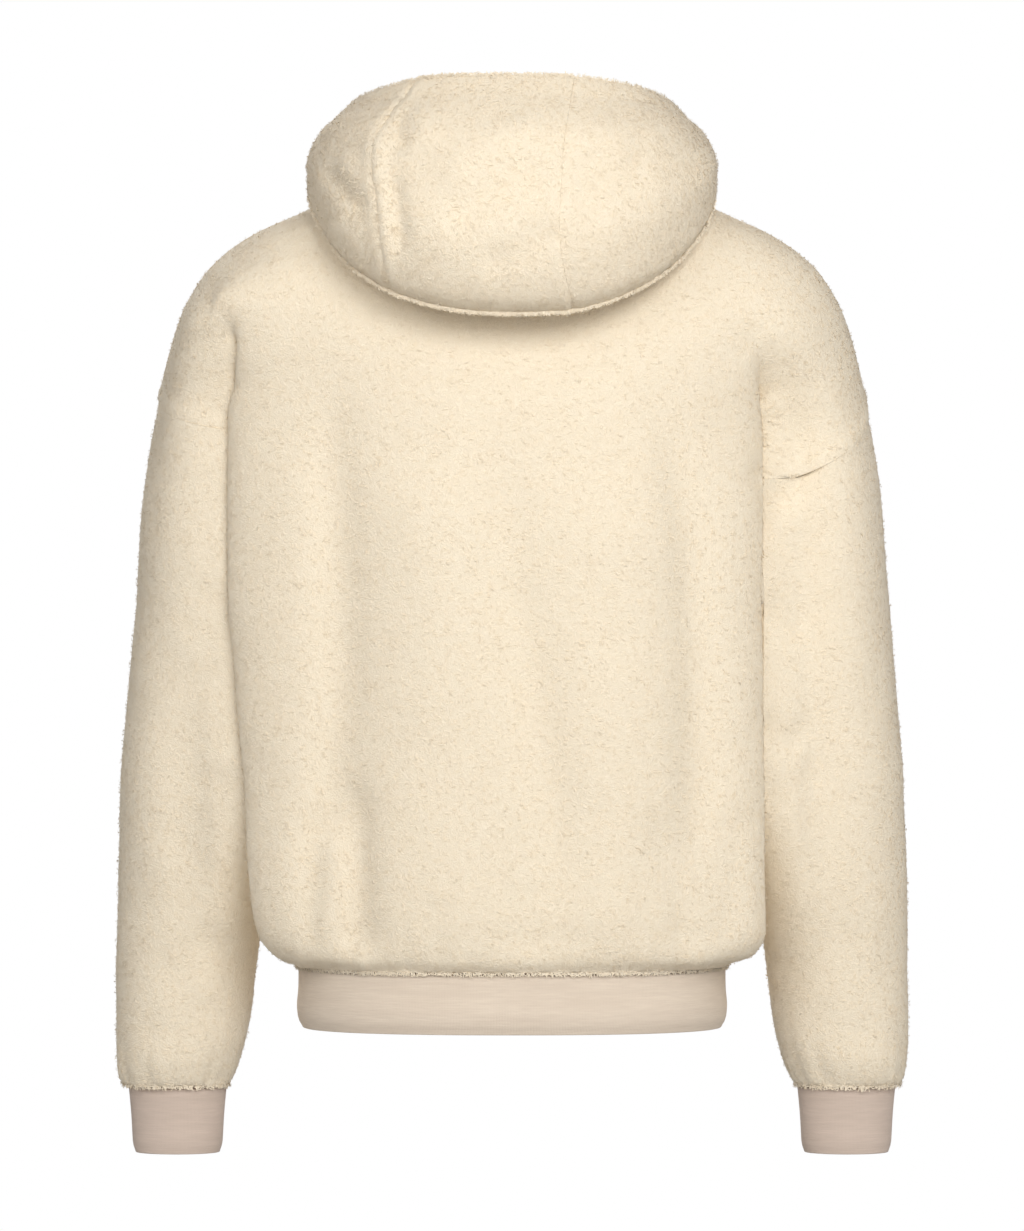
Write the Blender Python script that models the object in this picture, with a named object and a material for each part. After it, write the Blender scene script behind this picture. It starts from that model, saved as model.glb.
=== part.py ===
"""Pullover hoodie in teddy fleece, filled out as it is worn, with its hood down on the back.

Front and back panels with dropped shoulders, two sleeves, a three panel hood, and a
knitted hem band and cuffs. Each is a wall of cloth of its own, 0.3 mm from the next one
along their seam. Sizes are in millimetres up to the point where a mesh is made.

The origin is the middle of the neck, level with the two shoulder points of the neckline.
+X is the wearer's left, -Y the front and +Z up.
"""
import bpy
import numpy as np

NAME = "hoodie"
MM = 0.001

# Cloth
FLEECE = 3.0
KNIT = 2.2
SEAM_GAP = 0.4
NECK_GAP = 0.6

# Heights on the body, below the shoulder points of the neckline
HEM_Z = -684.0
BAND_TOP_Z = -638.0
UNDERARM_Z = -320.0
CREASE_TOP_Z = -170.0
SHOULDER_SEAM_END_Z = -182.0
NECK_BACK_Z = -22.0
NECK_FRONT_Z = -85.0
NECK_HALF_WIDTH = 92.0

# Heights on the sleeves
SLEEVE_END_Z = -737.0
CUFF_END_Z = -792.0

# The outline of a level cut through the body is a rounded square: 2 / 2.4
SQUARENESS = 2.0 / 2.4
SIDE_SEAM_Y = -10.0
CREASE_DEPTH_Y = 38.0
CREASE_RADIUS = 7.5

# How finely the cloth is divided. A spread above 1 sets rows closer together at the lower end.
HALF_COLUMNS = 20
NECK_COLUMNS = 8
SIDE_ROWS = 13
CREASE_ROWS = 5
CAP_ROWS = 5
SLEEVE_ROWS = 17
HOOD_ROWS = 16
HOOD_SIDE_COLUMNS = 20
HOOD_CENTRE_COLUMNS = 8
BAND_ROWS = 3
CUFF_ROWS = 3
SIDE_ROW_SPREAD = 1.3
CENTRE_ROW_SPREAD = 1.14
CAP_ROW_SPREAD = 1.6
SLEEVE_ROW_SPREAD = 0.85

# The last column but one of a body panel stays this share of a column short of the crease
CREASE_COLUMN_SHARE = 0.9

# Shares of a body panel's rows from which they bend towards neckline and shoulder seam
TOP_COLUMN_BLEND = 0.78
TOP_ROW_BLEND = 0.45
TOP_ROW_POWER = 1.5

# Steps over which directions are measured: along an outline, in height, round an angle
SMALL_S = 0.004
SMALL_Z = 0.4
SMALL_TURN = 0.4

# Colours of the cloth, as linear red, green and blue
FLEECE_COLOUR = (0.896, 0.768, 0.565)
KNIT_COLOUR = (0.737, 0.617, 0.491)
ROUGHNESS = 0.95

BACK = 1
FRONT = -1
LEFT = 1
RIGHT = -1
FACE_NAMES = {BACK: "back", FRONT: "front"}

# The stretch of a level half outline that is body, then crease, then arm
BODY_END = 1.85
CREASE_MIDDLE = 2.0
ARM_START = 2.15
OUTLINE_END = 4.0


def table(columns, *rows):
    """A table of sizes, one array for each named column."""
    return {name: np.array([row[i] for row in rows], float) for i, name in enumerate(columns)}


# Level cuts through the body: half width at the side seam, depth at centre back and front
BODY = table(
    ("height", "side", "back", "front"),
    (-684.0, 171.5, 108.0, -103.0),
    (-638.0, 173.0, 109.0, -104.0),
    (-631.0, 181.0, 116.0, -111.0),
    (-616.0, 184.5, 122.0, -116.0),
    (-590.0, 185.0, 126.0, -119.0),
    (-500.0, 185.0, 130.0, -122.0),
    (-400.0, 185.0, 134.0, -126.0),
    (-300.0, 185.0, 137.0, -130.0),
    (-200.0, 185.0, 133.0, -126.0),
    (-150.0, 185.0, 126.0, -118.0),
    (-100.0, 185.0, 112.0, -101.0),
    (-60.0, 185.0, 97.0, -82.0),
    (-40.0, 185.0, 86.0, -68.0),
    (-22.0, 185.0, 75.0, -50.0),
    (-8.0, 185.0, 52.0, -34.0),
    (0.0, 185.0, 30.0, -25.0),
)

# The outermost line of shoulder and sleeve, and the arm inside it
ARM = table(
    ("height", "out", "inner", "depth", "middle_y"),
    (-737.0, 314.0, 229.0, 35.0, -58.0),
    (-730.0, 317.5, 225.0, 39.0, -58.0),
    (-714.0, 319.5, 219.0, 44.0, -57.0),
    (-690.0, 320.0, 213.0, 48.0, -56.0),
    (-646.0, 319.5, 207.0, 53.0, -54.0),
    (-600.0, 319.0, 202.0, 59.0, -50.0),
    (-486.0, 315.0, 200.0, 68.0, -42.0),
    (-358.0, 304.5, 200.0, 76.0, -38.0),
    (-262.0, 297.0, 200.0, 79.0, -37.0),
    (-182.0, 283.0, 200.0, 76.0, -34.0),
    (-118.0, 265.0, 200.0, 68.0, -24.0),
    (-86.0, 247.0, 200.0, 60.0, -19.0),
    (-70.0, 231.0, 200.0, 56.0, -16.0),
    (-54.0, 207.0, 200.0, 52.0, -12.0),
    (-38.0, 173.0, 200.0, 50.0, -8.0),
    (-20.0, 134.0, 200.0, 50.0, -4.0),
    (0.0, 92.0, 200.0, 50.0, 0.0),
)

# Fold of the back panel over the sleeve: how far it stands out on either side
FOLD_ANGLE = 64.0
FOLD_BACK_SPREAD = 20.0
FOLD_FRONT_SPREAD = 8.0
FOLD = table(
    ("height", "left", "right"),
    (-638.0, 0.0, 0.0),
    (-628.0, 18.0, 22.0),
    (-607.0, 31.0, 31.0),
    (-560.0, 38.0, 30.0),
    (-514.0, 41.0, 29.0),
    (-406.0, 48.0, 28.0),
    (-350.0, 55.0, 27.0),
    (-150.0, 55.0, 27.0),
)

# Soft folds that fall down the back: middle, half width, depth at the top and at the hem
BACK_FOLDS = (
    (130.0, 24.0, 2.0, 10.0),
    (-16.0, 30.0, 3.0, 5.0),
    (-150.0, 20.0, 3.0, 6.0),
)
BACK_FOLDS_TOP_Z = -170.0
BACK_FOLDS_SHOWN = (110.0, 290.0)
BACK_FOLDS_HEM_FADE = 30.0
BACK_FOLDS_SIDE_FADE = 0.35

# Where the shoulder oval has turned into body and arm, and where the armhole leaves the crease
SPLIT_START_Z = {LEFT: -95.0, RIGHT: -112.0}
SPLIT_END_Z = {LEFT: -228.0, RIGHT: -238.0}
ARMHOLE_CORNER_Z = {
    (LEFT, BACK): -212.0,
    (LEFT, FRONT): -226.0,
    (RIGHT, BACK): -250.0,
    (RIGHT, FRONT): -226.0,
}

# Rings of the hood, from the neck seam over the roll and round the pouch to the face edge
HOOD = table(
    ("step", "back_y", "back_z", "side_x", "side_y", "side_z", "front_y", "front_z", "front_power"),
    (0.00, 75.0, -22.0, 92.0, 0.0, 0.0, -95.0, -85.0, 0.9),
    (0.07, 84.0, -3.0, 98.0, 2.0, 14.0, -98.0, -81.0, 0.9),
    (0.14, 98.0, -1.0, 110.0, 6.0, 20.0, -101.0, -77.0, 1.05),
    (0.28, 117.0, -50.0, 128.0, 14.0, 9.0, -106.0, -70.0, 1.2),
    (0.42, 132.0, -104.0, 143.0, 23.0, -12.0, -110.0, -65.0, 1.2),
    (0.50, 149.0, -127.0, 153.0, 29.0, -20.0, -112.0, -62.0, 1.2),
    (0.58, 176.0, -115.0, 160.0, 33.0, -15.0, -113.0, -60.0, 1.2),
    (0.72, 194.0, -60.0, 162.0, 34.0, 3.0, -113.0, -57.0, 1.25),
    (0.86, 182.0, 6.0, 153.0, 26.0, 24.0, -111.0, -54.0, 1.3),
    (1.00, 134.0, 63.0, 131.0, 6.0, 45.0, -105.0, -51.0, 1.35),
)

# Turns from centre back at which the seams of the hood's centre strip lie
STRIP = table(
    ("step", "left", "right"),
    (0.00, 30.0, 27.0),
    (0.28, 31.0, 22.0),
    (0.50, 32.0, 15.0),
    (0.58, 33.0, 13.0),
    (0.72, 36.0, 10.0),
    (0.86, 40.0, 12.0),
    (1.00, 31.0, 18.0),
)
HOOD_NECK_FADE = 0.45
HOOD_FRONT_GAP = 3.0

# Powers of sine or cosine that bend the rings of the hood
HOOD_SIDE_POWER = 0.85
HOOD_DEPTH_POWER = {BACK: 0.9, FRONT: 0.95}
HOOD_HEIGHT_POWER = {BACK: 1.5, FRONT: 2.0}

# Powers that bend the neckline: its height at the back and front, and its width
NECK_HEIGHT_POWER = {BACK: 2.0, FRONT: 1.5}
NECK_WIDTH_POWER = 0.9

# Knitted hem band and cuffs
BAND_INSET_TOP = 0.6
BAND_INSET_HEM = 1.0
CUFF = table(
    ("height", "half_x", "half_y"),
    (-792.0, 36.0, 28.0),
    (-762.0, 38.3, 30.4),
    (-737.0, 41.2, 33.7),
)
CUFF_X = 270.5
CUFF_Y = -58.0


def along(sizes, name, place, key="height"):
    """Read a column of a table between its rows, on a smooth curve that never overshoots."""
    x = sizes[key]
    y = sizes[name]
    place = np.asarray(place, float)
    step = np.diff(x)
    slope = np.diff(y) / step
    tangent = np.empty_like(y)
    tangent[0] = slope[0]
    tangent[-1] = slope[-1]
    same = slope[:-1] * slope[1:] > 0.0
    total = np.where(same, slope[:-1] + slope[1:], 1.0)
    tangent[1:-1] = np.where(same, 2.0 * slope[:-1] * slope[1:] / total, 0.0)
    i = np.clip(np.searchsorted(x, place, side="right") - 1, 0, len(step) - 1)
    t = np.clip((place - x[i]) / step[i], 0.0, 1.0)
    rise = t * t * (3.0 - 2.0 * t)
    start = t * (1.0 - t) ** 2 * step[i] * tangent[i]
    end = t * t * (t - 1.0) * step[i] * tangent[i + 1]
    return y[i] + (y[i + 1] - y[i]) * rise + start + end


def smooth(value, low, high):
    """0 below low, 1 above high, and a soft step between them."""
    t = np.clip((value - low) / (high - low), 0.0, 1.0)
    return t * t * (3.0 - 2.0 * t)


def unit(vectors):
    """Vectors brought to length 1."""
    return vectors / np.maximum(np.linalg.norm(vectors, axis=-1, keepdims=True), 1e-12)


def stack(x, y, z):
    """Points from their three coordinates, any of which may be one number for all."""
    return np.stack(np.broadcast_arrays(x, y, z), axis=-1).astype(float)


def rounded(wave):
    """A sine or cosine bent so that an oval drawn with it becomes a rounded square."""
    return np.abs(wave) ** SQUARENESS


def split(side, z):
    """0 where the shoulder is one oval, 1 where body and arm are parted by a crease."""
    return 1.0 - smooth(z, SPLIT_END_Z[side], SPLIT_START_Z[side])


def crease_y(face, z):
    """Bottom of the crease between body and arm, a quarter ellipse that ends at the underarm."""
    fall = np.clip((CREASE_TOP_Z - z) / (CREASE_TOP_Z - UNDERARM_Z), 0.0, 1.0)
    return SIDE_SEAM_Y + face * CREASE_DEPTH_Y * np.sqrt(1.0 - fall * fall)


def body_angle_at_crease(face, z):
    """Angle round the body, from centre back or front, at which the crease begins."""
    depth = along(BODY, FACE_NAMES[face], z) - SIDE_SEAM_Y
    reach = (crease_y(face, z) + face * CREASE_RADIUS - SIDE_SEAM_Y) / depth
    angle = np.arccos(np.clip(reach, 0.0, 1.0) ** (1.0 / SQUARENESS))
    return np.where(z < UNDERARM_Z, np.pi / 2, angle)


def arm_angle_at_crease(face, z):
    """Angle round the arm, from its outermost line, at which the crease begins."""
    reach = face * (crease_y(face, z) + face * CREASE_RADIUS - along(ARM, "middle_y", z))
    return np.pi - np.arcsin(np.clip(reach / along(ARM, "depth", z), -1.0, 1.0))


def body_point(side, face, angle, z):
    """Body as a rounded square, with the side fold and the soft folds of the back."""
    x = along(BODY, "side", z) * rounded(np.sin(angle))
    y = SIDE_SEAM_Y + (along(BODY, FACE_NAMES[face], z) - SIDE_SEAM_Y) * rounded(np.cos(angle))
    if face == BACK:
        turn = np.degrees(angle) - FOLD_ANGLE
        spread = np.where(turn < 0.0, FOLD_BACK_SPREAD, FOLD_FRONT_SPREAD)
        name = "left" if side == LEFT else "right"
        to_seam = smooth(-turn, FOLD_ANGLE - 90.0, FOLD_ANGLE - 80.0)
        bump = np.exp(-0.5 * (turn / spread) ** 2) * to_seam
        x = x + along(FOLD, name, z) * bump
        fall = np.clip((BACK_FOLDS_TOP_Z - z) / (BACK_FOLDS_TOP_Z - BAND_TOP_Z), 0.0, 1.0)
        shown = smooth(-z, *BACK_FOLDS_SHOWN) * smooth(z, BAND_TOP_Z, BAND_TOP_Z + BACK_FOLDS_HEM_FADE)
        shown = shown * smooth(np.cos(angle), 0.0, BACK_FOLDS_SIDE_FADE)
        for middle, width, top, bottom in BACK_FOLDS:
            depth = top + (bottom - top) * fall
            y = y - depth * shown * np.exp(-0.5 * ((side * x - middle) / width) ** 2)
    return stack(side * x, y, z)


def arm_oval(side, face, angle, z):
    """Arm as an ellipse, its angle measured from the outermost line."""
    half = (along(ARM, "out", z) - along(ARM, "inner", z)) / 2.0
    middle = (along(ARM, "out", z) + along(ARM, "inner", z)) / 2.0
    x = middle + half * np.cos(angle)
    y = along(ARM, "middle_y", z) + face * along(ARM, "depth", z) * np.sin(angle)
    return stack(side * x, y, z)


def shoulder_oval(side, face, s, z):
    """Body and both shoulders in one rounded square, for the cuts above the crease."""
    angle = np.pi / 2 * s / OUTLINE_END
    middle = along(ARM, "middle_y", z)
    x = along(ARM, "out", z) * rounded(np.sin(angle))
    y = middle + (along(BODY, FACE_NAMES[face], z) - middle) * rounded(np.cos(angle))
    return stack(side * x, y, z)


def body_part(side, face, s, z):
    """Outline from the centre to where the crease begins."""
    part = split(side, z)[..., None]
    angle = body_angle_at_crease(face, z) * s / BODY_END
    return (1.0 - part) * shoulder_oval(side, face, s, z) + part * body_point(side, face, angle, z)


def arm_part(side, face, s, z):
    """Outline from where the crease ends to the outermost line."""
    part = split(side, z)[..., None]
    angle = arm_angle_at_crease(face, z) * (OUTLINE_END - s) / (OUTLINE_END - ARM_START)
    return (1.0 - part) * shoulder_oval(side, face, s, z) + part * arm_oval(side, face, angle, z)


def outline(side, face, s, z):
    """Half of a level cut, from the centre (0) over the crease (2) to the outermost line (4)."""
    s, z = np.broadcast_arrays(np.asarray(s, float), np.asarray(z, float))
    start = np.full_like(s, BODY_END)
    end = np.full_like(s, ARM_START)
    a = body_part(side, face, start, z)
    b = arm_part(side, face, end, z)
    a_way = unit(a - body_part(side, face, start - SMALL_S, z))
    b_way = unit(arm_part(side, face, end + SMALL_S, z) - b)
    turn = (1.0 - np.sum(a_way * b_way, axis=-1, keepdims=True)) / 2.0
    reach = np.linalg.norm(b - a, axis=-1, keepdims=True) * (1.0 + turn) / 3.0
    t = np.clip((s - BODY_END) / (ARM_START - BODY_END), 0.0, 1.0)[..., None]
    bend = (1 - t) ** 3 * a + 3 * t * (1 - t) ** 2 * (a + reach * a_way)
    bend = bend + 3 * t * t * (1 - t) * (b - reach * b_way) + t ** 3 * b
    body = body_part(side, face, np.minimum(s, BODY_END), z)
    arm = arm_part(side, face, np.maximum(s, ARM_START), z)
    s = s[..., None]
    return np.where(s <= BODY_END, body, np.where(s >= ARM_START, arm, bend))


def normal(side, face, s, z):
    """Outward direction of the cloth, from how the outline changes along s and z."""
    s, z = np.broadcast_arrays(np.asarray(s, float), np.asarray(z, float))
    low = np.maximum(s - SMALL_S, 0.0)
    high = np.minimum(s + SMALL_S, OUTLINE_END)
    below = z < UNDERARM_Z
    high = np.where(below, np.minimum(high, BODY_END), high)
    low_z = np.where(below, z - SMALL_Z, np.maximum(z - SMALL_Z, UNDERARM_Z))
    high_z = np.where(below, np.minimum(z + SMALL_Z, UNDERARM_Z - 1e-6), z + SMALL_Z)
    across = outline(side, face, high, z) - outline(side, face, low, z)
    up = outline(side, face, s, high_z) - outline(side, face, s, low_z)
    return unit(np.cross(across, up)) * (side * face) * -1.0


def seam_direction(side, s, z):
    """Outward direction on a seam between front and back, the mean of the two sides."""
    return unit(normal(side, BACK, s, z) + normal(side, FRONT, s, z))


def neckline(side, face, turn):
    """Place on the outline (s and z) of the neckline, turn degrees round from the centre."""
    angle = np.radians(turn)
    lowest = NECK_BACK_Z if face == BACK else NECK_FRONT_Z
    z = lowest * np.abs(np.cos(angle)) ** NECK_HEIGHT_POWER[face]
    x = NECK_HALF_WIDTH * np.sin(angle) ** NECK_WIDTH_POWER
    share = np.clip(x / along(ARM, "out", z), 0.0, 1.0) ** (1.0 / SQUARENESS)
    return OUTLINE_END * 2.0 / np.pi * np.arcsin(share), z


def shoulder_seam(count):
    """Heights of evenly spaced points on the shoulder seam, from the neck to its end."""
    z = np.linspace(0.0, SHOULDER_SEAM_END_Z, 200)
    x = along(ARM, "out", z)
    length = np.concatenate(([0.0], np.cumsum(np.hypot(np.diff(x), np.diff(z)))))
    return np.interp(np.linspace(0.0, length[-1], count + 1), length, z)


def armhole(side, face):
    """Armhole seam as places on the outline, from the underarm to the end of the shoulder seam."""
    corner = ARMHOLE_CORNER_Z[side, face]
    last = np.arccos((CREASE_TOP_Z - corner) / (CREASE_TOP_Z - UNDERARM_Z))
    angle = np.linspace(0.0, last, CREASE_ROWS + 1)
    crease_z = CREASE_TOP_Z - (CREASE_TOP_Z - UNDERARM_Z) * np.cos(angle)
    t = np.linspace(0.0, 1.0, CAP_ROWS + 1)[1:]
    cap_s = CREASE_MIDDLE + (OUTLINE_END - CREASE_MIDDLE) * t
    rise = SHOULDER_SEAM_END_Z - corner
    cap_z = corner + rise * t ** CAP_ROW_SPREAD
    s = np.concatenate((np.full(CREASE_ROWS + 1, CREASE_MIDDLE), cap_s))
    return s, np.concatenate((crease_z, cap_z))


def underarm(side):
    """Point where body, sleeve and side seam meet, midway between body and arm."""
    back = outline(side, BACK, CREASE_MIDDLE, UNDERARM_Z)
    front = outline(side, FRONT, CREASE_MIDDLE, UNDERARM_Z)
    return np.array(((back[0] + front[0]) / 2.0, SIDE_SEAM_Y, UNDERARM_Z))


def armhole_points(side, face):
    """Points and outward directions along the armhole, the underarm facing straight down."""
    s, z = armhole(side, face)
    points = outline(side, face, s, z)
    directions = normal(side, face, s, z)
    points[0] = underarm(side)
    directions[0] = (0.0, 0.0, -1.0)
    directions[-1] = seam_direction(side, s[-1], z[-1])
    return points, directions


def half_panel(side, face):
    """Points and directions of half a body panel, columns from the centre to the side, rows upward."""
    ring_s, ring_z = armhole(side, face)
    side_steps = np.arange(SIDE_ROWS) / SIDE_ROWS
    side_z = BAND_TOP_Z + (UNDERARM_Z - BAND_TOP_Z) * side_steps ** SIDE_ROW_SPREAD
    right_s = np.concatenate((np.full(SIDE_ROWS, BODY_END), ring_s))
    right_z = np.concatenate((side_z, ring_z))
    rows = len(right_s) - 1
    v = np.arange(rows + 1) / rows
    top = NECK_BACK_Z if face == BACK else NECK_FRONT_Z
    left_z = BAND_TOP_Z + (top - BAND_TOP_Z) * v ** CENTRE_ROW_SPREAD
    turns = np.linspace(0.0, 90.0, NECK_COLUMNS + 1)
    neck_s, neck_z = neckline(side, face, turns)
    seam_z = shoulder_seam(HALF_COLUMNS - NECK_COLUMNS)
    top_s = np.concatenate((neck_s, np.full(len(seam_z) - 1, OUTLINE_END)))
    top_z = np.concatenate((neck_z, seam_z[1:]))
    u = np.arange(HALF_COLUMNS + 1) / HALF_COLUMNS
    level = (1.0 - u) * left_z[:, None] + u * right_z[:, None]
    chord_z = (1.0 - u) * left_z[-1] + u * right_z[-1]
    late = smooth(v, TOP_COLUMN_BLEND, 1.0)[:, None]
    early = smooth(v, TOP_ROW_BLEND, 1.0)[:, None] ** TOP_ROW_POWER
    share = np.minimum(u * CREASE_COLUMN_SHARE * HALF_COLUMNS / (HALF_COLUMNS - 1), 1.0)
    share[-1] = 1.0
    s = share * right_s[:, None] + late * (top_s - share * OUTLINE_END)
    z = level + early * (top_z - chord_z)
    z[:, -1] = right_z
    points = outline(side, face, s, z)
    directions = normal(side, face, s, z)
    directions[:SIDE_ROWS, -1] = seam_direction(side, s[:SIDE_ROWS, -1], z[:SIDE_ROWS, -1])
    directions[-1, NECK_COLUMNS:] = seam_direction(side, s[-1, NECK_COLUMNS:], z[-1, NECK_COLUMNS:])
    ring, ring_directions = armhole_points(side, face)
    points[SIDE_ROWS:, -1] = ring
    directions[SIDE_ROWS:, -1] = ring_directions
    return points, directions


def grid_directions(points, directions, closed=False):
    """Take the directions inside a grid from its own points and leave those on its open edges."""
    rows = np.gradient(points, axis=0)
    if closed:
        columns = (np.roll(points, -1, axis=1) - np.roll(points, 1, axis=1)) / 2.0
    else:
        columns = np.gradient(points, axis=1)
    own = unit(np.cross(columns, rows))
    inside = (slice(1, -1), slice(None)) if closed else (slice(1, -1), slice(1, -1))
    sign = np.sign(np.sum(own[inside] * directions[inside]))
    made = directions.copy()
    made[inside] = own[inside] * sign
    return made


def pull_in(points, directions, row=None, column=None):
    """Draw one edge of a grid back along the cloth by half the seam gap."""
    index = (slice(None), column) if row is None else (row, slice(None))
    inner = 1 if (row if row is not None else column) == 0 else -2
    inside = (slice(None), inner) if row is None else (inner, slice(None))
    edge = points[index]
    way = points[inside] - edge
    run = unit(np.gradient(edge, axis=0))
    facing = directions[index]
    way = way - facing * np.sum(way * facing, axis=-1, keepdims=True)
    way = way - run * np.sum(way * run, axis=-1, keepdims=True)
    points[index] = edge + unit(way) * SEAM_GAP / 2.0


def rim(a, b, count, place):
    """Two triangles across the cut edge of the cloth, split the same way on both sides of a seam."""
    if place[a] < place[b]:
        return (a, b, b + count), (a, b + count, a + count)
    return (a, b, a + count), (b, b + count, a + count)


def wall(name, points, directions, thickness, colour, closed=False):
    """Closed wall of cloth: the outer grid, the inner grid one thickness in, and its edges."""
    rows, columns = points.shape[:2]
    count = rows * columns
    inner = points - directions * thickness
    vertices = np.concatenate((points.reshape(-1, 3), inner.reshape(-1, 3))) * MM
    steps = columns if closed else columns - 1
    faces = []
    for i in range(rows - 1):
        for j in range(steps):
            k = (j + 1) % columns
            a = i * columns + j
            b = i * columns + k
            c = (i + 1) * columns + k
            d = (i + 1) * columns + j
            faces.append((a, b, c, d))
            faces.append((d + count, c + count, b + count, a + count))
    place = vertices @ np.array((0.37, 0.11, 1.0))
    for j in range(steps):
        k = (j + 1) % columns
        last = (rows - 1) * columns
        faces.extend(rim(k, j, count, place))
        faces.extend(rim(last + j, last + k, count, place))
    if not closed:
        for i in range(rows - 1):
            low = i * columns
            high = low + columns
            faces.extend(rim(low, high, count, place))
            faces.extend(rim(high + columns - 1, low + columns - 1, count, place))
    mesh = bpy.data.meshes.new(name)
    mesh.from_pydata(vertices.tolist(), [], faces)
    mesh.validate()
    if volume(mesh) < 0.0:
        mesh.flip_normals()
    mesh.shade_smooth()
    mesh.set_sharp_from_angle(angle=np.radians(50.0))
    mesh.materials.append(cloth(name, colour))
    made = bpy.data.objects.new(name, mesh)
    bpy.data.collections[NAME].objects.link(made)
    made.parent = bpy.data.objects[NAME + "_frame"]


def volume(mesh):
    """Signed volume of a closed mesh, negative when it is inside out."""
    mesh.calc_loop_triangles()
    corners = np.array([t.vertices[:] for t in mesh.loop_triangles])
    places = np.empty(len(mesh.vertices) * 3)
    mesh.vertices.foreach_get("co", places)
    a, b, c = places.reshape(-1, 3)[corners].transpose(1, 0, 2)
    return float(np.sum(np.cross(a, b) * c)) / 6.0


def cloth(name, colour):
    """Matt cloth of one colour."""
    material = bpy.data.materials.new(name)
    material.use_nodes = True
    shader = material.node_tree.nodes["Principled BSDF"]
    shader.inputs["Base Color"].default_value = (*colour, 1.0)
    shader.inputs["Roughness"].default_value = ROUGHNESS
    shader.inputs["Metallic"].default_value = 0.0
    material.diffuse_color = (*colour, 1.0)
    return material


def body_panel(face):
    """Whole front or back, its left half joined to its right half at the centre line."""
    left, left_directions = half_panel(LEFT, face)
    right, right_directions = half_panel(RIGHT, face)
    points = np.concatenate((right[:, :0:-1], left), axis=1)
    directions = np.concatenate((right_directions[:, :0:-1], left_directions), axis=1)
    centre = HALF_COLUMNS
    directions[:, centre, 0] = 0.0
    directions[:, centre] = unit(directions[:, centre])
    return points, grid_directions(points, directions)


def make_body():
    """Back and front panels, drawn back along every seam."""
    for face in (BACK, FRONT):
        points, directions = body_panel(face)
        pull_in(points, directions, column=0)
        pull_in(points, directions, column=-1)
        pull_in(points, directions, row=0)
        pull_in(points, directions, row=-1)
        for column, side in ((0, RIGHT), (-1, LEFT)):
            points[SIDE_ROWS, column] = underarm(side) + np.array((-side, face, 0.0)) * SEAM_GAP / 2.0
        wall(FACE_NAMES[face] + "_panel", points, directions, FLEECE, FLEECE_COLOUR)


def body_bottom():
    """Ring of points and directions along the lower edge of both body panels."""
    back, back_directions = body_panel(BACK)
    front, front_directions = body_panel(FRONT)
    points = np.concatenate((back[0], front[0, -2:0:-1]))
    directions = np.concatenate((back_directions[0], front_directions[0, -2:0:-1]))
    directions[:, 2] = 0.0
    return points, unit(directions)


def make_band():
    """Hem band: a knitted tube under the fleece, drawn in a little at its lower edge."""
    ring, directions = body_bottom()
    rows = []
    for t in np.linspace(0.0, 1.0, BAND_ROWS + 1):
        inset = BAND_INSET_TOP + BAND_INSET_HEM * t * t
        row = ring - directions * inset
        row[:, 2] = BAND_TOP_Z - SEAM_GAP + (HEM_Z - BAND_TOP_Z + SEAM_GAP) * t
        rows.append(row)
    points = np.stack(rows)
    wall("hem_band", points, np.broadcast_to(directions, points.shape), KNIT, KNIT_COLOUR, closed=True)


def sleeve_grid(side):
    """Sleeve from the armhole down to the cuff seam, columns round from the shoulder seam's end."""
    back, back_directions = armhole_points(side, BACK)
    front, front_directions = armhole_points(side, FRONT)
    ring = np.concatenate((back[::-1], front[1:-1]))
    ring_directions = np.concatenate((back_directions[::-1], front_directions[1:-1]))
    back_s, back_z = armhole(side, BACK)
    front_s, front_z = armhole(side, FRONT)
    start_z = np.concatenate((back_z[::-1], front_z[1:-1]))
    back_turn = turn_of(BACK, back_s, back_z)
    front_turn = turn_of(FRONT, front_s, front_z)
    start_turn = np.concatenate((back_turn[::-1], front_turn[1:-1]))
    columns = len(ring)
    end_turn = np.arange(columns) * 2.0 * np.pi / columns
    rows = [ring]
    directions = [ring_directions]
    for step in np.arange(1, SLEEVE_ROWS + 1) / SLEEVE_ROWS:
        t = step ** SLEEVE_ROW_SPREAD
        turn = start_turn + (end_turn - start_turn) * smooth(t, 0.0, 1.0)
        z = start_z + (SLEEVE_END_Z - start_z) * t
        rows.append(arm_surface(side, turn, z))
        directions.append(arm_direction(side, turn, z))
    directions[-1][:, 2] = 0.0
    directions[-1] = unit(directions[-1])
    points = np.stack(rows)
    return points, grid_directions(points, np.stack(directions), closed=True)


def turn_of(face, s, z):
    """Angle round the arm, back first, of a place on the outline, from 0 to a full turn."""
    share = (OUTLINE_END - np.maximum(s, ARM_START)) / (OUTLINE_END - ARM_START)
    angle = arm_angle_at_crease(face, z) * share
    return angle if face == BACK else 2.0 * np.pi - angle


def arm_surface(side, turn, z):
    """Arm or shoulder cap, turn radians round from the outermost line, back first."""
    back = turn <= np.pi
    points = []
    for face, angle in ((BACK, turn), (FRONT, 2.0 * np.pi - turn)):
        s = OUTLINE_END - angle * (OUTLINE_END - ARM_START) / arm_angle_at_crease(face, z)
        part = split(side, z)[..., None]
        cap = shoulder_oval(side, face, np.clip(s, 0.0, OUTLINE_END), z)
        points.append((1.0 - part) * cap + part * arm_oval(side, face, angle, z))
    return np.where(back[..., None], points[0], points[1])


def arm_direction(side, turn, z):
    """Outward direction of the arm's surface."""
    across = arm_surface(side, turn + SMALL_S, z) - arm_surface(side, turn - SMALL_S, z)
    up = arm_surface(side, turn, z + SMALL_Z) - arm_surface(side, turn, z - SMALL_Z)
    return unit(np.cross(across, up)) * side


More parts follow.
